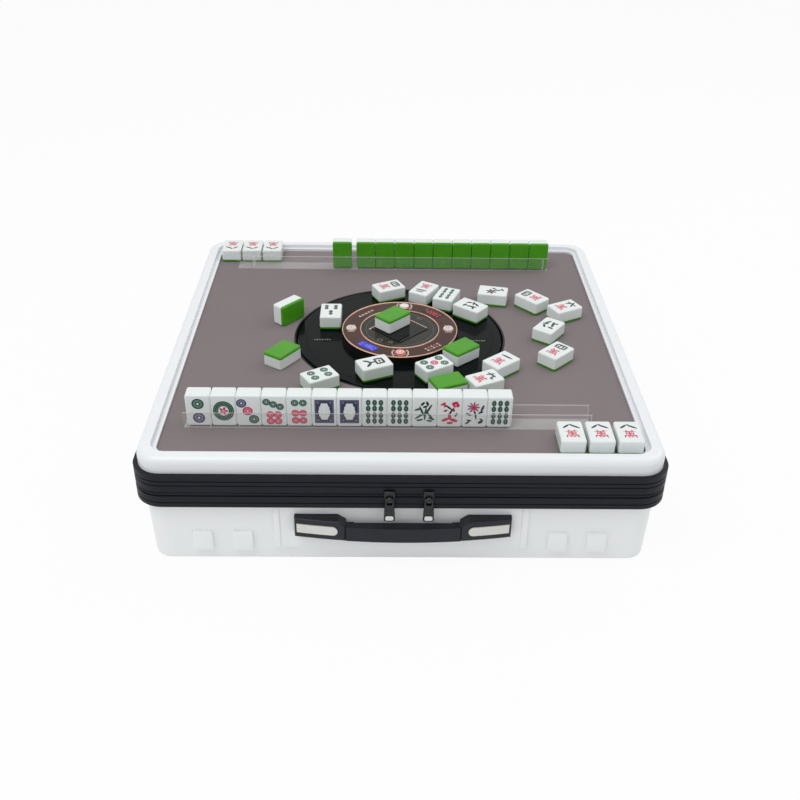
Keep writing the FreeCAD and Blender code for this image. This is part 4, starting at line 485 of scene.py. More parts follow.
def strokes_for(number):
    """Brush strokes of a number."""
    table = {
        1: [(0, 9, 7.2, 1.1, 5)],
        2: [(0, 11.5, 5, 0.95, 4), (0, 7, 7.4, 1.1, 4)],
        3: [(0, 12.6, 5, 0.9, 4), (0, 9.2, 4.4, 0.9, 4), (0, 5.6, 7.2, 1.05, 4)],
        4: [(-6, 9, 0.9, 4, 0), (6, 9, 0.9, 4, 0), (0, 13, 6.6, 0.85, 2), (0, 5.4, 6, 0.8, 0),
            (-2, 9.8, 0.8, 3, -14), (2.4, 9.8, 0.8, 3, 10)],
        6: [(0, 13.2, 1.3, 1.2, 0), (0, 10.4, 7, 0.95, 3), (-3.4, 7, 0.9, 2.8, -32),
            (3.6, 7, 0.9, 2.8, 34)],
        8: [(-4.6, 8.4, 0.95, 4.4, -48), (0.6, 11.2, 1.5, 0.8, -42), (4.4, 8.2, 1.05, 5.2, 58)],
        9: [(-1, 9.6, 6, 0.85, 10), (-2.6, 9, 0.85, 4.6, -18), (3.6, 8, 0.85, 4, 8),
            (6, 5, 2, 0.8, 20)],
    }
    return strokes(BLACK, "s", *[
        (x, y, across + 0.25, up + 0.25, turn) for x, y, across, up, turn in table[number]])


MARKS = {
    "two dots": dot(0, 8.2, 6.3, GREEN) + dot(0, -8.6, 6.3, NAVY),
    "one dot": [
        (GREEN, "o", 0, 0, 10.8, 11.8, 0), (PALE, "o", 0, 0, 9.6, 10.4, 0),
        (GREEN, "o", 0, 0, 8.7, 9.4, 0), (PALE, "o", 0, 0, 7.4, 8, 0),
        (GREEN, "o", 0, 0, 6.4, 7, 0), (WHITE, "o", 0, 0, 5.4, 5.8, 0),
        *[(RED, "o", x, y, 2.1, 1.2, turn) for turn, x, y in around(5, 2.8)],
    ],
    "three dots": dot(-7, 9.3, 5.2, NAVY) + dot(-1.1, 0, 5.2, RED) + dot(4.8, -9.9, 5.2, GREEN),
    "seven dots": [
        *repeated(dot, ((-7.3, 11), (-0.5, 8.2), (6.4, 5.5)), 4, GREEN),
        *repeated(dot, ((-3.9, -4.1), (3.9, -4.1), (-3.9, -12), (3.9, -12)), 4.1, RED),
    ],
    "six dots": [
        *repeated(dot, ((-4.2, 10.2), (4.2, 10.2)), 4, GREEN),
        *repeated(dot, ((-3.9, -2.2), (3.9, -2.2), (-3.9, -11), (3.9, -11)), 4.1, RED),
    ],
    "five dots": [
        *repeated(dot, ((-6, 9.8), (6, 9.8)), 4.6, GREEN), *dot(0, 0, 4.6, RED),
        *repeated(dot, ((-6, -9.8), (6, -9.8)), 4.6, GREEN),
    ],
    "four dots": repeated(dot, [(x, y) for y in (8, -8) for x in (-5.2, 5.2)], 4.5, GREEN),
    "frame": [
        (NAVY, "b", 0, 0, 9.8, 14.2, 0), (PALE_NAVY, "b", 0, 0, 8.9, 13.3, 0),
        (NAVY, "b", 0, 0, 8.5, 12.9, 0), (WHITE, "h", 0, 0, 6.2, 11.4, 0),
        (WHITE, "b", 0, 0, 5.3, 5.8, 0),
        *[(PALE_NAVY, "o", x, y, 1.0, 1.2, 0) for x in (-6.4, 6.4) for y in (-10.8, 10.8)],
    ],
    "six sticks": repeated(
        stick, [(x, y) for x in (-6.5, 0, 6.5) for y in (7.6, -7.6)], 6.8, 2.3),
    "four sticks": repeated(stick, [(x, y) for x in (-4.4, 4.4) for y in (7.4, -7.4)], 6.6, 2.1),
    "three sticks": repeated(stick, ((-5.6, 8), (5.6, 8), (0, -6)), 5.6, 2.3, BLACK),
    "orchid": [
        *strokes(
            GREEN, "o", (-5, -4.6, 6.6, 1.15, 38), (4.8, -3.6, 7, 1.15, 128), (0.6, -2, 8, 1.1, 84),
            (-3.2, 1.4, 6.4, 1.1, 112), (4, 3.4, 7, 1.1, 62), (-7, 3.4, 3.8, 1.2, 20),
            (7, -8, 3.6, 1.2, 160)),
        *strokes(
            BLACK, "o", (-2.2, 10, 2.8, 1.3, 50), (2.6, 10.4, 3, 1.3, 110),
            (0.4, 6.6, 2.6, 1.2, 20), (-5, -9.6, 3.4, 1.1, 12), (5, -10.6, 3.2, 1.1, 170)),
    ],
    "plum": [
        *strokes(
            RED, "o", (-7, 10, 3.2, 1.3, 30), (-5.4, 8, 1.2, 2.2, 10), (5, 11, 3.6, 1.9, 20),
            (8, 8.4, 2.4, 1.8, 80), (4.4, 7.6, 2.2, 1.2, 140)),
        *strokes(BLACK, "o", (-1.4, 6, 4.8, 1, 140), (1.2, 0.8, 6, 1, 60)),
        *strokes(
            RED, "o", (-4.4, 2, 2.2, 1.2, 20), (4, 2.8, 2.2, 1.2, 100), (-4.4, -9, 4.2, 1.8, 24),
            (4.2, -9.6, 4.4, 1.9, 160), (0, -6, 3.2, 1.7, 90), (0.4, -13, 3.4, 1.5, 4)),
        *strokes(GREEN, "o", (6.6, -3, 2.8, 1, 70)),
    ],
    "chrysanthemum": [
        *[(PALE_NAVY if turn % 80 else RED, "o", x, y, 3, 1, turn)
          for turn, x, y in around(9, 3.9, -1.6, 6)],
        *strokes(RED, "o", (-1.6, 6, 1.8, 1.8, 0)),
        *strokes(BLACK, "o", (0.8, -3.4, 5.6, 0.9, 100)),
        *strokes(
            NAVY, "o", (-6.4, -2.4, 3.2, 1.1, 150), (7.6, 5, 4.4, 1.2, 70), (6, 0, 3, 1.1, 20)),
        *strokes(
            BLACK, "o", (-7, -12.4, 2.8, 1.1, 40), (-5.6, -9.8, 2.6, 1, 170),
            (6.2, -11.8, 2.8, 1.7, 30), (7, -8.8, 2.2, 1, 150)),
    ],
    "blossom": [
        *[(BLACK, "o", x, y, 3.2, 1.4, turn) for turn, x, y in around(6, 3.6, -3.6, 2, 15)],
        *strokes(RED, "o", (-3.6, 2, 1.6, 1.6, 0)),
        *strokes(
            BLACK, "o", (1.4, -7, 6.4, 1.2, 118), (4.6, -1.4, 3.6, 1.3, 60),
            (3.4, -12, 3.2, 1.2, 30)),
    ],
    "knot": strokes(
        BLACK, "s", (0, 10.4, 6, 1.4, 3), (-5, 6, 1.4, 5.4, -4), (5, 6, 1.4, 5.4, 4),
        (0, 2, 5.6, 1.3, 0), (0, 6.4, 2.4, 1.2, 0), (0, -2.4, 1.3, 4.6, 0),
        (-4, -7.6, 1.5, 4.6, -40), (4.2, -7.4, 1.6, 4.8, 42)),
    "twist": strokes(
        BLACK, "s", (-4, 6.4, 1.5, 4.4, -28), (-5, 1.4, 3.8, 1.4, 20), (-4, -4.4, 1.5, 3.8, 30),
        (3.6, 3.4, 1.6, 6.6, 14), (5.6, 7, 3.2, 1.4, 28), (4.6, -5.4, 3.6, 1.6, -8)),
    "red one": strokes_for(1) + lattice(-5), "red two": strokes_for(2) + lattice(-6),
    "red three": strokes_for(3) + lattice(-7), "red four": strokes_for(4) + lattice(-6),
    "red six": strokes_for(6) + lattice(-6), "red eight": strokes_for(8) + lattice(-5),
    "red nine": strokes_for(9) + lattice(-6),
}

FRONT_ROW = (
    "two dots", "one dot", "three dots", "seven dots", "six dots", "frame", "frame", "six sticks",
    "six sticks", "orchid", "plum", "chrysanthemum", "six sticks",
)
REAR_ROW = (
    "red one", "red three", "four dots", "five dots", "four sticks", "six sticks", "knot",
    "red nine", "two dots", "red six", "three dots",
)

# Loose tiles that show their face: azimuth round the centre, turn of the long side, share of the
# way out over the disc or the mat, and the mark
DISC_FACES = (
    (159.6, 90, 0.367, "three sticks"), (71.5, 240, 0.568, "red two"),
    (52.9, 68, 0.559, "four sticks"), (29.0, -39, 0.588, "twist"),
    (-68.0, 32, 0.582, "five dots"), (-107.7, 24, 0.519, "knot"),
    (97.6, 26, 0.607, "red four"),
)
MAT_FACES = (
    (37.3, 168.5, 0.203, "blossom"), (-36.2, 40, 0.123, "red one"),
    (-53.1, 27, 0.222, "red nine"), (-127.2, 31, 0.175, "four dots"),
    (24.3, 131.6, 0.484, "red four"), (13.6, 28, 0.714, "red six"),
    (-0.3, 54, 0.439, "twist"), (-18.7, 45, 0.525, "red four"),
)


def draw_mark(name, marks, inks=None):
    """The print of one design, flat on the origin, each mark a little above the one before."""
    sizes = bpy.context.scene.game_table_sizes
    rise = sizes.print_raise
    for number, (_, kind, x, y, across, up, turn) in enumerate(marks):
        points, spin, reach = {
            "o": (sizes.print_points if max(across, up) > 1.5 else 10, 0, 1),
            "s": (8, math.pi / 8, 1 / math.cos(math.pi / 8)),
            "b": (4, math.pi / 4, math.sqrt(2)),
            "h": (6, math.pi / 2, 1),
        }[kind]
        bpy.ops.mesh.primitive_circle_add(
            vertices=points, radius=1, fill_type="NGON", location=(0, 0, 0), rotation=(0, 0, spin))
        if number == 0:
            piece = named(name)
            bpy.ops.object.transform_apply(location=False, rotation=True, scale=False)
            bpy.ops.object.mode_set(mode="EDIT")
        bpy.ops.transform.resize(value=(across * reach * MM, up * reach * MM, 1))
        bpy.ops.transform.rotate(
            value=math.radians(-turn), orient_axis="Z", center_override=(0, 0, 0))
        bpy.ops.transform.translate(value=(x * MM, y * MM, rise * (1 + 0.1 * number)))
        bpy.ops.mesh.select_all(action="DESELECT")
    bpy.ops.object.mode_set(mode="OBJECT")
    for face in piece.data.polygons:
        face.material_index = marks[round((face.center.z / rise - 1) * 10)][0]
    for material in inks or print_finishes():
        piece.data.materials.append(material)
    return modify(piece, "SOLIDIFY", thickness=rise * 0.9, offset=-1)


def round_place(azimuth, radius, top, turn):
    """A place round the centre of the table, level and turned about its own middle."""
    angle = math.radians(azimuth)
    return (
        Matrix.Translation(mm((radius * math.cos(angle), radius * math.sin(angle), top)))
        @ Matrix.Rotation(math.radians(turn), 4, "Z"))


def lying_place(azimuth, turn, start, end, share, top):
    """Where the face of a loose tile is."""
    return round_place(azimuth, start + share * (end - start), top, turn - 90)


def standing_place(x, y, z, facing):
    """Where the face of a tile in a row is: facing -1 is the front, 1 the back."""
    turn = Matrix(((-facing, 0, 0, 0), (0, 0, facing, 0), (0, 1, 0, 0), (0, 0, 0, 1)))
    return Matrix.Translation(mm((x, y, z))) @ turn


def print_set(name, body, places):
    """Print a mark on each tile of a set and join the prints."""
    masters = {}
    copies = []
    for mark, place in places:
        if mark not in masters:
            masters[mark] = draw_mark("mark_" + mark.replace(" ", "_"), MARKS[mark])
        copies.append(copy(masters[mark], place))
    for master in masters.values():
        drop(master)
    return give(join(name, copies), body, "tile_white")


class GAMETABLE_OT_tile_prints(bpy.types.Operator):
    """Print the faces of the tiles in the rows, in the corners and those that lie loose"""
    bl_idname = "gametable.tile_prints"
    bl_label = "Tile Prints"

    def execute(self, context):
        middle = edge("front_row_tiles", 2, 0) + TILE[1] / 2
        left = edge("front_row_tiles", 0, 0)
        face = edge("front_row_tiles", 1, 0)
        print_set("front_row_prints", "front_rack_set", [
            (mark, standing_place(left + TILE[0] * (number + 0.5), face, middle, -1))
            for number, mark in enumerate(FRONT_ROW)])
        right = edge("rear_row_tiles", 0, 1) - TILE[0] / 2
        face = edge("rear_row_tiles", 1, 1)
        print_set("rear_row_prints", "rear_rack_set", [
            (mark, standing_place(
                right - REAR_STEP * number - (REAR_GAP if number == 10 else 0), face, middle, 1))
            for number, mark in enumerate(REAR_ROW)])
        top = DISC_TOP + TILE[2]
        print_set("disc_tile_prints", "lift", [
            (mark, lying_place(azimuth, turn, CONSOLE_EDGE, DISC_EDGE, share, top))
            for azimuth, turn, share, mark in DISC_FACES])
        top = MAT_TOP + TILE[2]
        places = [
            (mark, lying_place(azimuth, turn, WELL_EDGE, MAT_EDGE, share, top))
            for azimuth, turn, share, mark in MAT_FACES]
        along = MAT_EDGE - 1.8 - TILE[1] / 2
        for number in range(3):
            for side, step in ((-1, 29), (1, 27.6)):
                x = -side * (MAT_EDGE - 3.7 - TILE[0] / 2 - number * step)
                places.append(("red eight", (
                    Matrix.Translation(mm((x, side * along, top)))
                    @ Matrix.Rotation(math.pi * (side > 0), 4, "Z"))))
        # The tile that stands on its long edge
        places.append(("one dot", (
            lying_place(163.8, 139, WELL_EDGE, MAT_EDGE, 0.126, MAT_TOP + TILE[0] / 2)
            @ Matrix.Translation((0, TILE[2] / 2 * MM, 0))
            @ Matrix(((0, 1, 0, 0), (0, 0, 1, 0), (1, 0, 0, 0), (0, 0, 0, 1))))))
        print_set("mat_tile_prints", "deck", places)
        return {"FINISHED"}


# The console and its displays

SEGMENTS = {
    "a": (0, 1.9, 1.0, 0.26), "b": (1.1, 0.95, 0.26, 0.8), "c": (1.1, -0.95, 0.26, 0.8),
    "d": (0, -1.9, 1.0, 0.26), "e": (-1.1, -0.95, 0.26, 0.8), "f": (-1.1, 0.95, 0.26, 0.8),
    "g": (0, 0, 1.0, 0.26),
}
DIGITS = {"0": "abcdef", "1": "bc", "2": "abged", "3": "abgcd", "6": "afgecd", "8": "abcdefg"}


def figures(text, step, tone, scale=1.0, y=0):
    marks = []
    start = -step * (len(text) - 1) / 2
    for number, digit in enumerate(text):
        for name in DIGITS[digit]:
            x, up, across, high = SEGMENTS[name]
            marks.append((
                tone, "s", start + step * number + x * scale, y + up * scale,
                across * scale, high * scale, 0))
    return marks


def on_ring(azimuth, radius, top, turn=0):
    """A place on the console, upright as seen from outside the ring."""
    return round_place(azimuth, radius, top, azimuth + 90 + turn)


def arc_marks(tone, radius, start, end, count, across, high):
    return [
        (tone, "s", radius * math.cos(math.radians(angle)), radius * math.sin(math.radians(angle)),
         across, high, -angle)
        for angle in (start + (end - start) * step / (count - 1) for step in range(count))]


def ring(name, radius, wide, high, centre, material, points=48):
    """A fine raised ring."""
    piece = primitive(
        bpy.ops.mesh.primitive_torus_add, name, centre, major_segments=points, minor_segments=8,
        major_radius=radius * MM, minor_radius=wide / 2 * MM)
    piece.scale.z = high / wide * 2
    piece.data.materials.append(material)
    return settle(piece)


class GAMETABLE_OT_console_art(bpy.types.Operator):
    """Draw the lines, rings and figures of the console, its buttons and its displays"""
    bl_idname = "gametable.console_art"
    bl_label = "Console Art"

    def execute(self, context):
        tints = context.scene.game_table_colours
        trim = kept(
            "Rose gold trim", tints.trim, 0.26, metal=0.85, cloud=(80, 0.05),
            grain=(3000, 0.000004))
        pale = kept("Pale print", ink(226, 200, 188), 0.45, cloud=(500, 0.06))
        rose = kept("Rose print", ink(196, 110, 108), 0.45, cloud=(500, 0.06))
        lit = kept("Lit figures", ink(112, 130, 226), 0.3, glow=0.3, cloud=(400, 0.05))
        blue = kept("Lit blue panel", tints.display_blue, 0.25, glow=0.12, cloud=(120, 0.12))
        red = kept("Lit red figures", tints.display_red, 0.3, glow=0.5, cloud=(400, 0.08))
        grey = kept("Grey print", ink(118, 116, 104), 0.4, cloud=(400, 0.08))
        white = kept("Button print", ink(240, 236, 232), 0.35, cloud=(300, 0.04))
        inks = [trim, pale, rose, lit, blue, red, grey, white]
        art = []

        def stamp(name, marks, place):
            master = draw_mark(name, marks, inks)
            art.append(copy(master, place))
            drop(master)

        top = CONSOLE_TOP
        shown = edge("led_displays", 2, 1)
        stamp("blue_panel", [
            (4, "b", 0, 0, 12.8, 5.3, 0), *figures("136", 4.8, 3, 1.5, 0.6),
            (3, "s", -9.6, 1.6, 1.6, 0.5, 0), (3, "s", 9.8, 1.8, 1.4, 0.5, 0),
            (2, "s", -9.8, -2.6, 1.6, 0.9, 0), (2, "s", 8.8, -3.2, 1.6, 0.9, 0),
        ], on_ring(-131, DISPLAY_RING, shown))
        stamp("red_figures", [
            *figures("208", 5, 5, 1.6, 0.2), (5, "s", -10.6, 2.2, 1.3, 1.3, 0),
            (5, "s", 10.8, -2.4, 1.4, 0.9, 0), (5, "s", 10.8, 2.4, 1.4, 0.9, 0),
        ], on_ring(45, DISPLAY_RING, shown, 180))
        stamp("caption_back_left", [
            (1 + (line > 0), "s", -10.4 + 5.2 * number, 1.0 * line, 1.9 - 0.3 * line, 0.55,
             30 * line)
            for number in range(5) for line in (-1, 0, 1)
        ], on_ring(137, 56.5, top, 180))
        stamp("caption_front_right", [
            (1 + (number % 2), "s", -9 + 4.5 * number, 4.4 * row - 2.2 + line, 1.6 - 0.3 * row,
             0.5, 25 * line)
            for number in range(5) for row in (0, 1) for line in (-0.8, 0.8)
        ], on_ring(-49, BUTTON_RING, top))
        for azimuth, face in ((-90, edge("front_button", 2, 1)), (180, edge("left_button", 2, 1)),
                              (0, edge("right_button", 2, 1)), (84, edge("back_button", 2, 1))):
            main_one = azimuth in (-90, 84)
            tone = 7 if main_one else 6
            stamp("button_print", [
                (tone, "s", 0, 0, 2.1, 0.45, 0), (tone, "s", 0, 0, 0.45, 2.1, 0),
                *arc_marks(tone, 3.6, -180, 150, 12, 0.35, 1.05),
            ], on_ring(azimuth, BUTTON_RING, face))
            if main_one:
                stamp("button_brackets", [
                    mark for start in (-36, 144)
                    for mark in arc_marks(1, 9.4, start, start + 72, 5, 0.7, 1.7)
                ], on_ring(azimuth, BUTTON_RING, top))
            else:
                stamp("button_captions", [
                    (1, "s", side * (7.6 + 0.5 * (number % 2)), -3.3 + 2.2 * number, 0.75, 0.7, 0)
                    for number in range(4) for side in (-1, 1)
                ], on_ring(azimuth, BUTTON_RING, top))
            centre = on_ring(azimuth, BUTTON_RING, top).translation / MM
            art.append(ring("button_ring", 6.3, 0.6, 0.4, centre, trim))
        art.append(ring("dial_line", 40.5, 0.4, 0.25, (0, 0, DIAL_TOP), grey, 72))
        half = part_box("dice_window")[1].x / MM / math.sqrt(2)
        for turn in (45, 135):
            place = Matrix.Rotation(math.radians(turn), 4, "Z")
            stamp("window_line", [(0, "b", half + 1.0, 3, 1.1, half * 0.98, 0)], (
                Matrix.Translation((0, 0, DIAL_TOP * MM)) @ place))
        stamp("dial_icon_ring", arc_marks(6, 3.0, 0, 315, 8, 0.5, 1.3), on_ring(-131, 36, DIAL_TOP))
        stamp("dial_icon_arrow", [
            (6, "s", -1.6, 0.4, 0.55, 2.4, -30), (6, "s", 1.6, 0.4, 0.55, 2.4, 30),
            (6, "s", 0, -2.0, 2.6, 0.5, 0),
        ], on_ring(-109, 34, DIAL_TOP))
        stamp("dial_icon_bars", [
            (6, "s", -2.6 + 2.6 * number, 0, 0.6, 2.0 - 0.5 * number, 0) for number in range(3)
        ], on_ring(48, 36, DIAL_TOP, 180))
        give(join("console_art", art), "lift", "rose_ring")
        master = draw_mark("disc_ticks", [
            (1, "s", -9 + 3 * number, 0, 1.05, 1.0 + 0.35 * (number % 2), 0) for number in range(7)
        ], [trim, grey])
        marks = [copy(master, Matrix.Translation(mm((x, -12, DISC_TOP)))) for x in (-92, 92)]
        drop(master)
        give(join("disc_marks", marks), "lift", "disc_black")
        return {"FINISHED"}


# The zip

def zip_row(name, low, high, shift):
    """One row of teeth round the whole case, following the seam."""
    sizes = bpy.context.scene.game_table_sizes
    half = TAPE_FACE + 0.68
    corner = half - STRAIGHT_HALF
    primitive(bpy.ops.mesh.primitive_plane_add, name + "_path", size=2 * half * MM)
    edit_all()
    bpy.ops.mesh.bevel(offset=corner * MM, segments=12, affect="VERTICES")
    bpy.ops.mesh.select_all(action="SELECT")
    bpy.ops.mesh.delete(type="ONLY_FACE")
    bpy.ops.object.mode_set(mode="OBJECT")
    bpy.ops.object.convert(target="CURVE")
    path = bpy.context.object
    path.data.twist_mode = "Z_UP"
    round_length = (8 * STRAIGHT_HALF + 2 * math.pi * corner) * MM
    count = int(round_length / sizes.tooth_pitch)
    pitch = round_length / count
    tooth = bar(
        name, (sizes.tooth_wide / MM, 1.3, high - low), (shift * pitch / MM, 0, (low + high) / 2),
        0.25, 1)
    modify(
        tooth, "ARRAY", count=count, use_relative_offset=False, use_constant_offset=True,
        constant_offset_displace=(pitch, 0, 0))
    modify(tooth, "CURVE", object=path, deform_axis="POS_X")
    bpy.data.objects.remove(path)
    return tooth


def slider(name, x):
    """A rounded slider: its plate, its waist and the loop that holds the pull."""
    parts = [
        bar(name + "_plate", (11, SLIDER_DEEP, 9), (x, -SLIDER_BACK - SLIDER_DEEP / 2, SEAM + 2),
            1.3, 4),
        bar(name + "_waist", (8.4, 2.5, 5.6), (x, -SLIDER_BACK - 1.25, SEAM - 3.7), 1.1, 4),
        bar(name + "_spine", (3.2, 1.6, 11.4), (x, -SLIDER_BACK - 2.5, SEAM), 0.6, 3),
    ]
    loop = primitive(
        bpy.ops.mesh.primitive_torus_add, name + "_loop", (x, -PULL_AXIS, PULL_TOP),
        rotation=(0, math.pi / 2, 0), major_segments=28, minor_segments=12,
        major_radius=1.95 * MM, minor_radius=0.6 * MM)
    loop.scale = (1.35, 1, 4.0)
    return smooth(join(name, [*parts, settle(loop)]), 50)


def pull(name, x):
    """A rounded zip pull with an eye, on a pin, narrower towards the pin."""
    low = PULL_TOP - 26.8
    parts = [
        round_bar(
            name + "_pin", 1.15, 10.2, (x, -PULL_AXIS, PULL_TOP), (0, math.pi / 2, 0), 0.3),
        bar(name + "_yoke", (10.4, 2, 4.6), (x, -PULL_AXIS, PULL_TOP - 8.6), 0.8, 4),
        bar(name + "_web", (7, 1.2, 12), (x, -PULL_AXIS + 0.2, PULL_TOP - 15), 0.3, 2),
        plate(name + "_foot", 11.2, 7.6, 2, (x, -PULL_AXIS, low + 3.8), 2.6, 0.5),
    ]
    for side in (-1, 1):
        parts += [
            bar(name + "_arm", (2.2, 2, 9), (x + side * 4.1, -PULL_AXIS, PULL_TOP - 3.6), 0.7, 3),
            bar(name + "_side", (2.9, 2, 14), (x + side * 4.15, -PULL_AXIS, PULL_TOP - 16), 0.7, 3),
        ]
    made = join(name, parts)
    for vertex in made.data.vertices:
        share = min(1, max(0, (vertex.co.z / MM - low - 7) / 16))
        vertex.co.x = (x + (vertex.co.x / MM - x) * (1 - 0.16 * share)) * MM
    return smooth(made, 50)


class GAMETABLE_OT_zip(bpy.types.Operator):
    """Make the two rows of zip teeth, the sliders and their pulls"""
    bl_idname = "gametable.zip"
    bl_label = "Zip"

    def execute(self, context):
        metal = bpy.data.materials["Black zip metal"]
        silver = kept("Silver tip", ink(212, 212, 210), 0.3, metal=0.6, cloud=(200, 0.04))
        give(zip_row("zip_teeth_lower", SEAM - 1.45, SEAM + 0.3, 0), "case", "zip_metal", metal)
        give(zip_row("zip_teeth_upper", SEAM - 0.3, SEAM + 1.45, 0.5), "deck", "zip_metal", metal)
        for side, x in (("left", -12), ("right", 27)):
            made = slider(side + "_slider_rounded", x)
            give(made, side + "_slider", "zip_metal", metal)
            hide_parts(side + "_zip_slider")
            made = pull(side + "_pull_rounded", x)
            give(made, side + "_pull", "zip_metal", metal)
            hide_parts(side + "_zip_pull")
            tip = plate(
                side + "_pull_tip", 8.2, 5.6, 1.2, (x, -PULL_AXIS - 0.75, PULL_TOP - 22.4), 1.8)
            give(smooth(tip), side + "_pull", "silver_plate", silver)
        return {"FINISHED"}


# The handle

class GAMETABLE_OT_grip(bpy.types.Operator):
    """Make the rounded grip, bowed outwards, with its two tongues"""
    bl_idname = "gametable.grip"
    bl_label = "Grip"

    def execute(self, context):
        sizes = context.scene.game_table_sizes
        tints = context.scene.game_table_colours
        low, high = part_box("handle_strap")
        middle = (low + high) / 2 / MM
        tall = (high.z - low.z) / MM
        front = -low.y / MM
        back = PANEL_FACE + 6.5
        depth = (front + back) / 2
        half = 57.9
        chord_half, sagitta = 110, 9.6
        radius = (chord_half ** 2 + sagitta ** 2) / (2 * sagitta)
        bow = settle(primitive(
            bpy.ops.mesh.primitive_cube_add, "grip_bow", (middle.x, -depth, middle.z), size=1,
            scale=mm((2 * half, front - back, tall))))
        edit_all()
        bpy.ops.mesh.subdivide(number_cuts=15)
        bpy.ops.object.mode_set(mode="OBJECT")
        # Only the four long edges are rounded, so that the ends meet the handle without a gap
        weights = bow.data.attributes.new("bevel_weight_edge", "FLOAT", "EDGE")
        core = Vector((0, -depth, middle.z)) * MM
        for number, line in enumerate(bow.data.edges):
            ends = [bow.data.vertices[index].co - core for index in line.vertices]
            if abs(ends[0].x - ends[1].x) > MM and all(
                    abs(end.y) > (front - back) * 0.49 * MM and abs(end.z) > tall * 0.49 * MM
                    for end in ends):
                weights.data[number].value = 1
        for vertex in bow.data.vertices:
            off = vertex.co.x / MM - middle.x
            if vertex.co.y < -depth * MM:
                sag = radius - math.sqrt(radius ** 2 - off ** 2)
                vertex.co.y += sag * (-vertex.co.y / MM - depth) / ((front - back) / 2) * MM
        modify(bow, "BEVEL", width=sizes.grip_round, segments=5, limit_method="WEIGHT")
        parts = [bow]
        tongue_back = -(PANEL_FACE + 0.3)
        for side in (-1, 1):
            parts += [
                bar("grip_tongue", (32, 3, 9.5), (
                    middle.x + side * 66, tongue_back - 1.5, middle.z), 0.5, 2),
                bar("grip_foot", (7.4, 7.6, 9.3), (
                    middle.x + side * 53.85, tongue_back - 4, middle.z), 0.6, 2),
            ]
        skin = kept(
            "Grip rubber", tints.handle, 0.45, gloss=0.35, cloud=(40, 0.08), grain=(2200, 0.00002),
            smear=(200, 0.06))
        grip = smooth(join("grip_rounded", parts), 40)
        give(grip, "grip", "handle_dark", skin)
        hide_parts("handle_strap")
        return {"FINISHED"}


# Small parts at the back

class GAMETABLE_OT_back_fittings(bpy.types.Operator):
    """Make the screws of the hinges and of the power inlet"""
    bl_idname = "gametable.back_fittings"
    bl_label = "Back Fittings"

    def execute(self, context):
        steel = kept(
            "Turned steel", ink(178, 180, 184), 0.3, metal=1.0, grain=(2600, 0.000006))
        dark = kept("Screw slot", ink(46, 47, 50), 0.5, metal=0.4)

        def screws(name, body, places, face, radius):
            parts = []
            for x, z in places:
                head = round_bar(
                    name + "_head", radius, 0.7, (x, face + 0.35, z), (math.pi / 2, 0, 0), 0.25)
                head.data.materials.append(steel)
                parts.append(head)
                for lean in (0.4, 0.4 + math.pi / 2):
                    slot = bar(
                        name + "_slot", (radius * 1.3, 0.1, radius * 0.28), (x, face + 0.69, z),
                        0.03, 1, (0, lean, 0))
                    slot.data.materials.append(dark)
                    parts.append(slot)
            give(smooth(join(name, parts), 40), body, "steel")

        leaf_face = BAND_FACE + 1.0
        low = edge("case_hinge_leaves", 2, 0) + 4.2
        high = edge("deck_hinge_leaves", 2, 1) - 5.5
        across = [side * 150 + step for side in (-1, 1) for step in (-15, 0, 15)]
        screws("case_hinge_screws", "case", [(x, low) for x in across], leaf_face, 1.7)
        screws("deck_hinge_screws", "deck", [(x, high) for x in across], leaf_face, 1.7)
        left, right = (edge("power_inlet", 0, end) for end in (0, 1))
        level = (edge("power_inlet", 2, 0) + edge("power_inlet", 2, 1)) / 2
        screws(
            "inlet_screws", "case", [(left + 2.6, level), (right - 2.6, level)],
            edge("power_inlet", 1, 1), 1.5)
        return {"FINISHED"}


# The wall at the handle

class GAMETABLE_OT_front_relief(bpy.types.Operator):
    """Round off the small pads and the ends of the flat panel behind the handle"""
    bl_idname = "gametable.front_relief"
    bl_label = "Front Relief"

    def execute(self, context):
        parts = [
            bar("pad_cap", (20, 2.0, 23.5), (x, -PANEL_FACE - 0.2, 28.25), 0.95, 4)
            for x in (-203, -162, 162, 203)
        ] + [
            bar("panel_lip", (7, 2.2, 54.6), (x, -PANEL_FACE - 0.1, 48.5), 1.05, 4)
            for x in (-126.6, 126.6)
        ]
        made = smooth(join("front_relief", parts), 50)
        give(made, "case", "shell_white", bpy.data.materials["Moulded shell"])
        return {"FINISHED"}


# Finishes of the CAD nodes

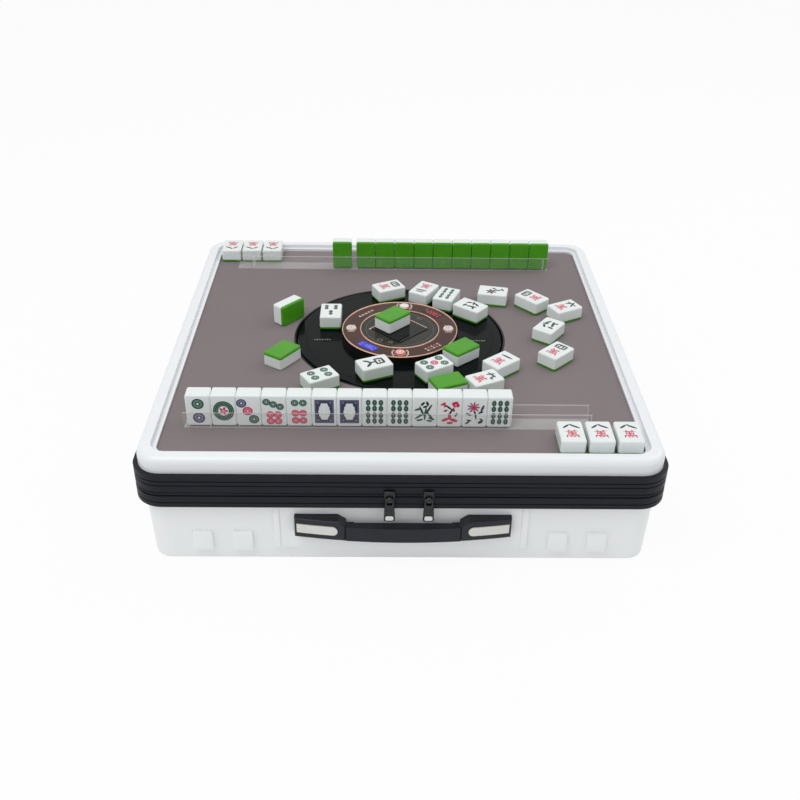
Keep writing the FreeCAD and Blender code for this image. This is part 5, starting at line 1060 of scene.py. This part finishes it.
class GAMETABLE_OT_finishes(bpy.types.Operator):
    """Give every piece of the frame its own finish"""
    bl_idname = "gametable.finishes"
    bl_label = "Finishes"

    def execute(self, context):
        tints = context.scene.game_table_colours
        moulded = {
            "coat": 0.2, "gloss": 0.4, "cloud": (3, 0.004), "smear": (400, 0.02),
            "grain": (1500, 0.000003)}
        green = {
            "coat": 0.05, "gloss": 0.2, "cloud": (60, 0.06), "smear": (160, 0.05),
            "grain": (900, 0.000002)}
        row_top = edge("front_row_tiles", 2, 1)
        lip = edge("front_rack", 2, 1)
        ends = edge("front_rack", 0, 1)
        row_green = zone(
            kept("Row tile green", tints.tile_back, 0.28, **green),
            [(2, row_top - 0.9, row_top + 1)], base=tints.tile_face)
        # Painted highlights: the clear rack is made whiter and more opaque along its top lip, its
        # foot up to the mat and its two ends, standing in for light caught at the edges of the
        # acrylic
        rack = zone(
            kept("Clear rack", ink(236, 234, 234), 0.05, coat=0.2, cloud=(20, 0.02), alpha=0.045,
                 grain=(300, 0.000004)),
            [(2, lip - 0.7, lip + 1), (2, 0, MAT_TOP + 0.5), (0, ends - 0.8, ends + 1),
             (0, -ends - 1, -ends + 0.8)], alpha=0.32)
        console = zone(
            kept("Bronze console", tints.console, 0.4, metal=0.1, gloss=0.2, coat=0.05,
                 cloud=(40, 0.12), fleck=(3200, 0.22), smear=(90, 0.06)),
            [(2, 0, CONSOLE_TOP - 0.6)], base=ink(15, 14, 14))
        fitted = (
            (kept("Moulded shell", tints.shell, 0.3, **moulded), ("lower_shell",)),
            (kept("Moulded rim", tints.rim, 0.3, **moulded), ("rim_frame",)),
            (kept("Coated band", tints.band, 0.5, gloss=0.25, cloud=(18, 0.1), smear=(120, 0.06),
                  grain=(1800, 0.00002), weave=(0.0009, 0.00004)), ("lower_band", "upper_band")),
            (kept("Foot rubber", ink(34, 34, 35), 0.75, cloud=(90, 0.15), grain=(1500, 0.00006)),
             ("rubber_feet",)),
            (kept("Ribbed belt", ink(24, 24, 25), 0.6, cloud=(90, 0.12), weave=(0.002, 0.0002)),
             ("drive_belt",)),
            (kept("Handle moulding", tints.handle, 0.4, gloss=0.4, cloud=(30, 0.08),
                  grain=(1700, 0.00002)), ("handle_ends", "handle_strap")),
            (kept("Brushed silver", ink(216, 215, 210), 0.34, metal=0.4, cloud=(40, 0.04),
                  smear=(300, 0.08), grain=(1600, 0.000002), stretch=(0.06, 1, 1)),
             ("handle_inserts",)),
            (kept("Plain steel", ink(172, 174, 178), 0.36, metal=1.0, cloud=(20, 0.05),
                  smear=(90, 0.1), grain=(2000, 0.00001), stretch=(1, 14, 1)),
             ("chassis_plate", "chassis_screws", "motor_bracket", "case_hinge_leaves",
              "deck_hinge_leaves", "deck_screws")),
            (kept("Ground steel", ink(196, 198, 202), 0.2, metal=1.0, cloud=(30, 0.04),
                  smear=(200, 0.06), stretch=(1, 1, 12)),
             ("hub_post", "turntable_bearing", "lift_tube", "motor_pulley", "lift_screw")),
            (kept("Inner moulding", ink(150, 152, 154), 0.45, cloud=(12, 0.04),
                  grain=(900, 0.00003)), ("drum_bowl", "disc_carrier", "turntable_plate")),
            (kept("Grained black", ink(20, 20, 22), 0.5, gloss=0.3, cloud=(40, 0.1),
                  grain=(1600, 0.00003)),
             ("power_supply", "power_inlet", "power_rocker", "well_ring", "turntable_hub")),
            (kept("Motor can", ink(98, 100, 104), 0.35, metal=0.9, cloud=(60, 0.06)),
             ("drive_motor", "lift_motor")),
            (kept("Circuit board", ink(30, 92, 58), 0.35, cloud=(220, 0.22), grain=(900, 0.00004),
                  fleck=(700, 0.25)), ("control_board", "console_board")),
            (kept("Cable sheath", ink(28, 28, 29), 0.45, cloud=(80, 0.12)), ("wiring_loom",)),
            (kept("Fibreboard", ink(176, 154, 122), 0.75, cloud=(30, 0.12), fleck=(900, 0.18),
                  grain=(1200, 0.00008), stretch=(1, 3, 1)), ("deck_board",)),
            (kept("Mat pile", tints.mat, 0.9, gloss=0.2, cloud=(5, 0.04), smear=(40, 0.05),
                  fleck=(2600, 0.07), grain=(2400, 0.00016), weave=(0.0011, 0.00004)),
             ("table_mat",)),
            (kept("Polished disc", tints.disc, 0.14, gloss=0.06, cloud=(25, 0.1),
                  smear=(400, 0.05), grain=(1400, 0.000002)), ("disc_rim", "lift_disc")),
            (console, ("console_housing",)),
            (kept("Rose gold ring", tints.trim, 0.24, metal=0.8, cloud=(60, 0.05),
                  smear=(200, 0.05)), ("console_bezels",)),
            (kept("Dial glass", tints.dial, 0.12, gloss=0.2, cloud=(20, 0.12), smear=(60, 0.03)),
             ("dial_glass",)),
            (kept("Dark window", ink(12, 13, 16), 0.08, gloss=0.2, cloud=(30, 0.15),
                  smear=(60, 0.02)), ("dice_window",)),
            (kept("Display glass", ink(24, 14, 18), 0.12, gloss=0.25, cloud=(60, 0.15)),
             ("led_displays",)),
            (kept("White button", ink(226, 222, 214), 0.3, coat=0.3, cloud=(90, 0.03)),
             ("left_button", "right_button", "back_button")),
            (kept("Pink button", ink(226, 132, 128), 0.3, coat=0.3, cloud=(90, 0.05)),
             ("front_button",)),
            (kept("Tile white", tints.tile_face, 0.22, coat=0.05, gloss=0.3, cloud=(50, 0.01),
                  smear=(160, 0.04), grain=(800, 0.000002)),
             ("front_row_tiles", "rear_row_tiles", "mat_tiles", "disc_tiles")),
            (kept("Tile green", tints.tile_back, 0.28, **green),
             ("rear_row_backs", "mat_backs", "disc_backs")),
            (row_green, ("front_row_backs",)),
            (rack, ("front_rack", "rear_rack")),
            (kept("Black zip metal", ink(13, 14, 17), 0.3, gloss=0.4, coat=0.12,
                  cloud=(300, 0.1)),
             ("left_zip_slider", "right_zip_slider", "left_zip_pull", "right_zip_pull")),
        )
        left = set(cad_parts)
        for material, names in fitted:
            for name in names:
                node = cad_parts[name]
                node.data.materials.clear()
                node.data.materials.append(material)
                left.discard(name)
        if left:
            raise RuntimeError("No finish for %s" % sorted(left))
        return {"FINISHED"}


# The stage

def whiten(tree, output, shader, strength):
    """Mix a shader with plain white where the camera or a reflection looks straight at it."""
    rays = add(tree, "ShaderNodeLightPath").outputs
    seen = largest(tree, [
        rays["Is %s Ray" % kind] for kind in ("Camera", "Glossy", "Transmission")])
    kind = "ShaderNodeEmission" if output == "Material Output" else "ShaderNodeBackground"
    white = put(add(tree, kind), Color=(1, 1, 1, 1), Strength=1)
    mix = add(tree, "ShaderNodeMixShader")
    tree.links.new(maths(tree, "MULTIPLY", seen, strength), mix.inputs[0])
    tree.links.new(shader.outputs[0], mix.inputs[1])
    tree.links.new(white.outputs[0], mix.inputs[2])
    tree.links.new(mix.outputs[0], tree.nodes[output].inputs["Surface"])


class GAMETABLE_OT_stage(bpy.types.Operator):
    """Set up the pale floor, the soft light and the camera"""
    bl_idname = "gametable.stage"
    bl_label = "Stage"

    def execute(self, context):
        scene = context.scene
        sizes = scene.game_table_sizes
        floor = primitive(bpy.ops.mesh.primitive_plane_add, "floor", size=60)
        material = bpy.data.materials.new("Pale floor")
        material.use_nodes = True
        tree = material.node_tree
        shader = put(
            tree.nodes["Principled BSDF"], Base_Color=(*ink(238, 238, 238), 1), Roughness=0.9)
        whiten(tree, "Material Output", shader, 0.93)
        floor.data.materials.append(material)
        world = bpy.data.worlds.new("Studio")
        scene.world = world
        world.use_nodes = True
        sky = put(
            world.node_tree.nodes["Background"], Color=(0.98, 0.99, 1, 1),
            Strength=sizes.sky_strength)
        whiten(world.node_tree, "World Output", sky, 1)
        for name, place, reach, share in (
                ("Key", (-0.7, -0.8, 1.9), 1.3, 1.0), ("Fill", (1.2, 0.5, 1.6), 1.6, 0.55)):
            bpy.ops.object.light_add(type="AREA", location=place)
            lamp = bpy.context.object
            lamp.name = name
            lamp.data.size = reach
            lamp.data.energy = sizes.lamp_power * share
            aim = Vector((0, 0, 0.08)) - Vector(place)
            lamp.rotation_euler = aim.to_track_quat("-Z", "Y").to_euler()
        yaw, pitch, roll = (math.radians(angle) for angle in (1.07, 32.64, 0.96))
        ahead = Vector((
            math.sin(yaw) * math.cos(pitch), math.cos(yaw) * math.cos(pitch), -math.sin(pitch)))
        level = Vector((math.cos(yaw), -math.sin(yaw), 0))
        upright = level.cross(ahead)
        right = math.cos(roll) * level + math.sin(roll) * upright
        up = -math.sin(roll) * level + math.cos(roll) * upright
        bpy.ops.object.camera_add()
        camera = bpy.context.object
        camera.name = "Camera"
        camera.matrix_world = Matrix((
            (right.x, up.x, -ahead.x, -0.0177), (right.y, up.y, -ahead.y, -1.0412),
            (right.z, up.z, -ahead.z, 0.7016), (0, 0, 0, 1)))
        camera.data.sensor_width = 36
        camera.data.lens = 44.44
        scene.camera = camera
        scene.view_settings.view_transform = "Standard"
        return {"FINISHED"}


STEPS = (
    GAMETABLE_OT_finishes, GAMETABLE_OT_tile_prints, GAMETABLE_OT_console_art, GAMETABLE_OT_zip,
    GAMETABLE_OT_grip, GAMETABLE_OT_back_fittings, GAMETABLE_OT_front_relief, GAMETABLE_OT_stage,
)


class GAMETABLE_PT_panel(bpy.types.Panel):
    """Steps, colours and sizes of the game table"""
    bl_idname = "GAMETABLE_PT_panel"
    bl_label = "Game Table"
    bl_space_type = "VIEW_3D"
    bl_region_type = "UI"
    bl_category = "Game Table"

    def draw(self, context):
        for step in STEPS:
            self.layout.operator(step.bl_idname)
        for group in (context.scene.game_table_colours, context.scene.game_table_sizes):
            box = self.layout.box()
            for name in group.bl_rna.properties.keys():
                if name not in ("rna_type", "name"):
                    box.prop(group, name)


CLASSES = (GameTableColours, GameTableSizes, *STEPS, GAMETABLE_PT_panel)


def register():
    for each in CLASSES:
        bpy.utils.register_class(each)
    bpy.types.Scene.game_table_colours = PointerProperty(type=GameTableColours)
    bpy.types.Scene.game_table_sizes = PointerProperty(type=GameTableSizes)


def unregister():
    del bpy.types.Scene.game_table_sizes
    del bpy.types.Scene.game_table_colours
    for each in reversed(CLASSES):
        bpy.utils.unregister_class(each)


def main():
    register()
    bpy.ops.gametable.finishes()
    bpy.ops.gametable.tile_prints()
    bpy.ops.gametable.console_art()
    bpy.ops.gametable.zip()
    bpy.ops.gametable.grip()
    bpy.ops.gametable.back_fittings()
    bpy.ops.gametable.front_relief()
    bpy.ops.gametable.stage()


if __name__ == "__main__":
    main()
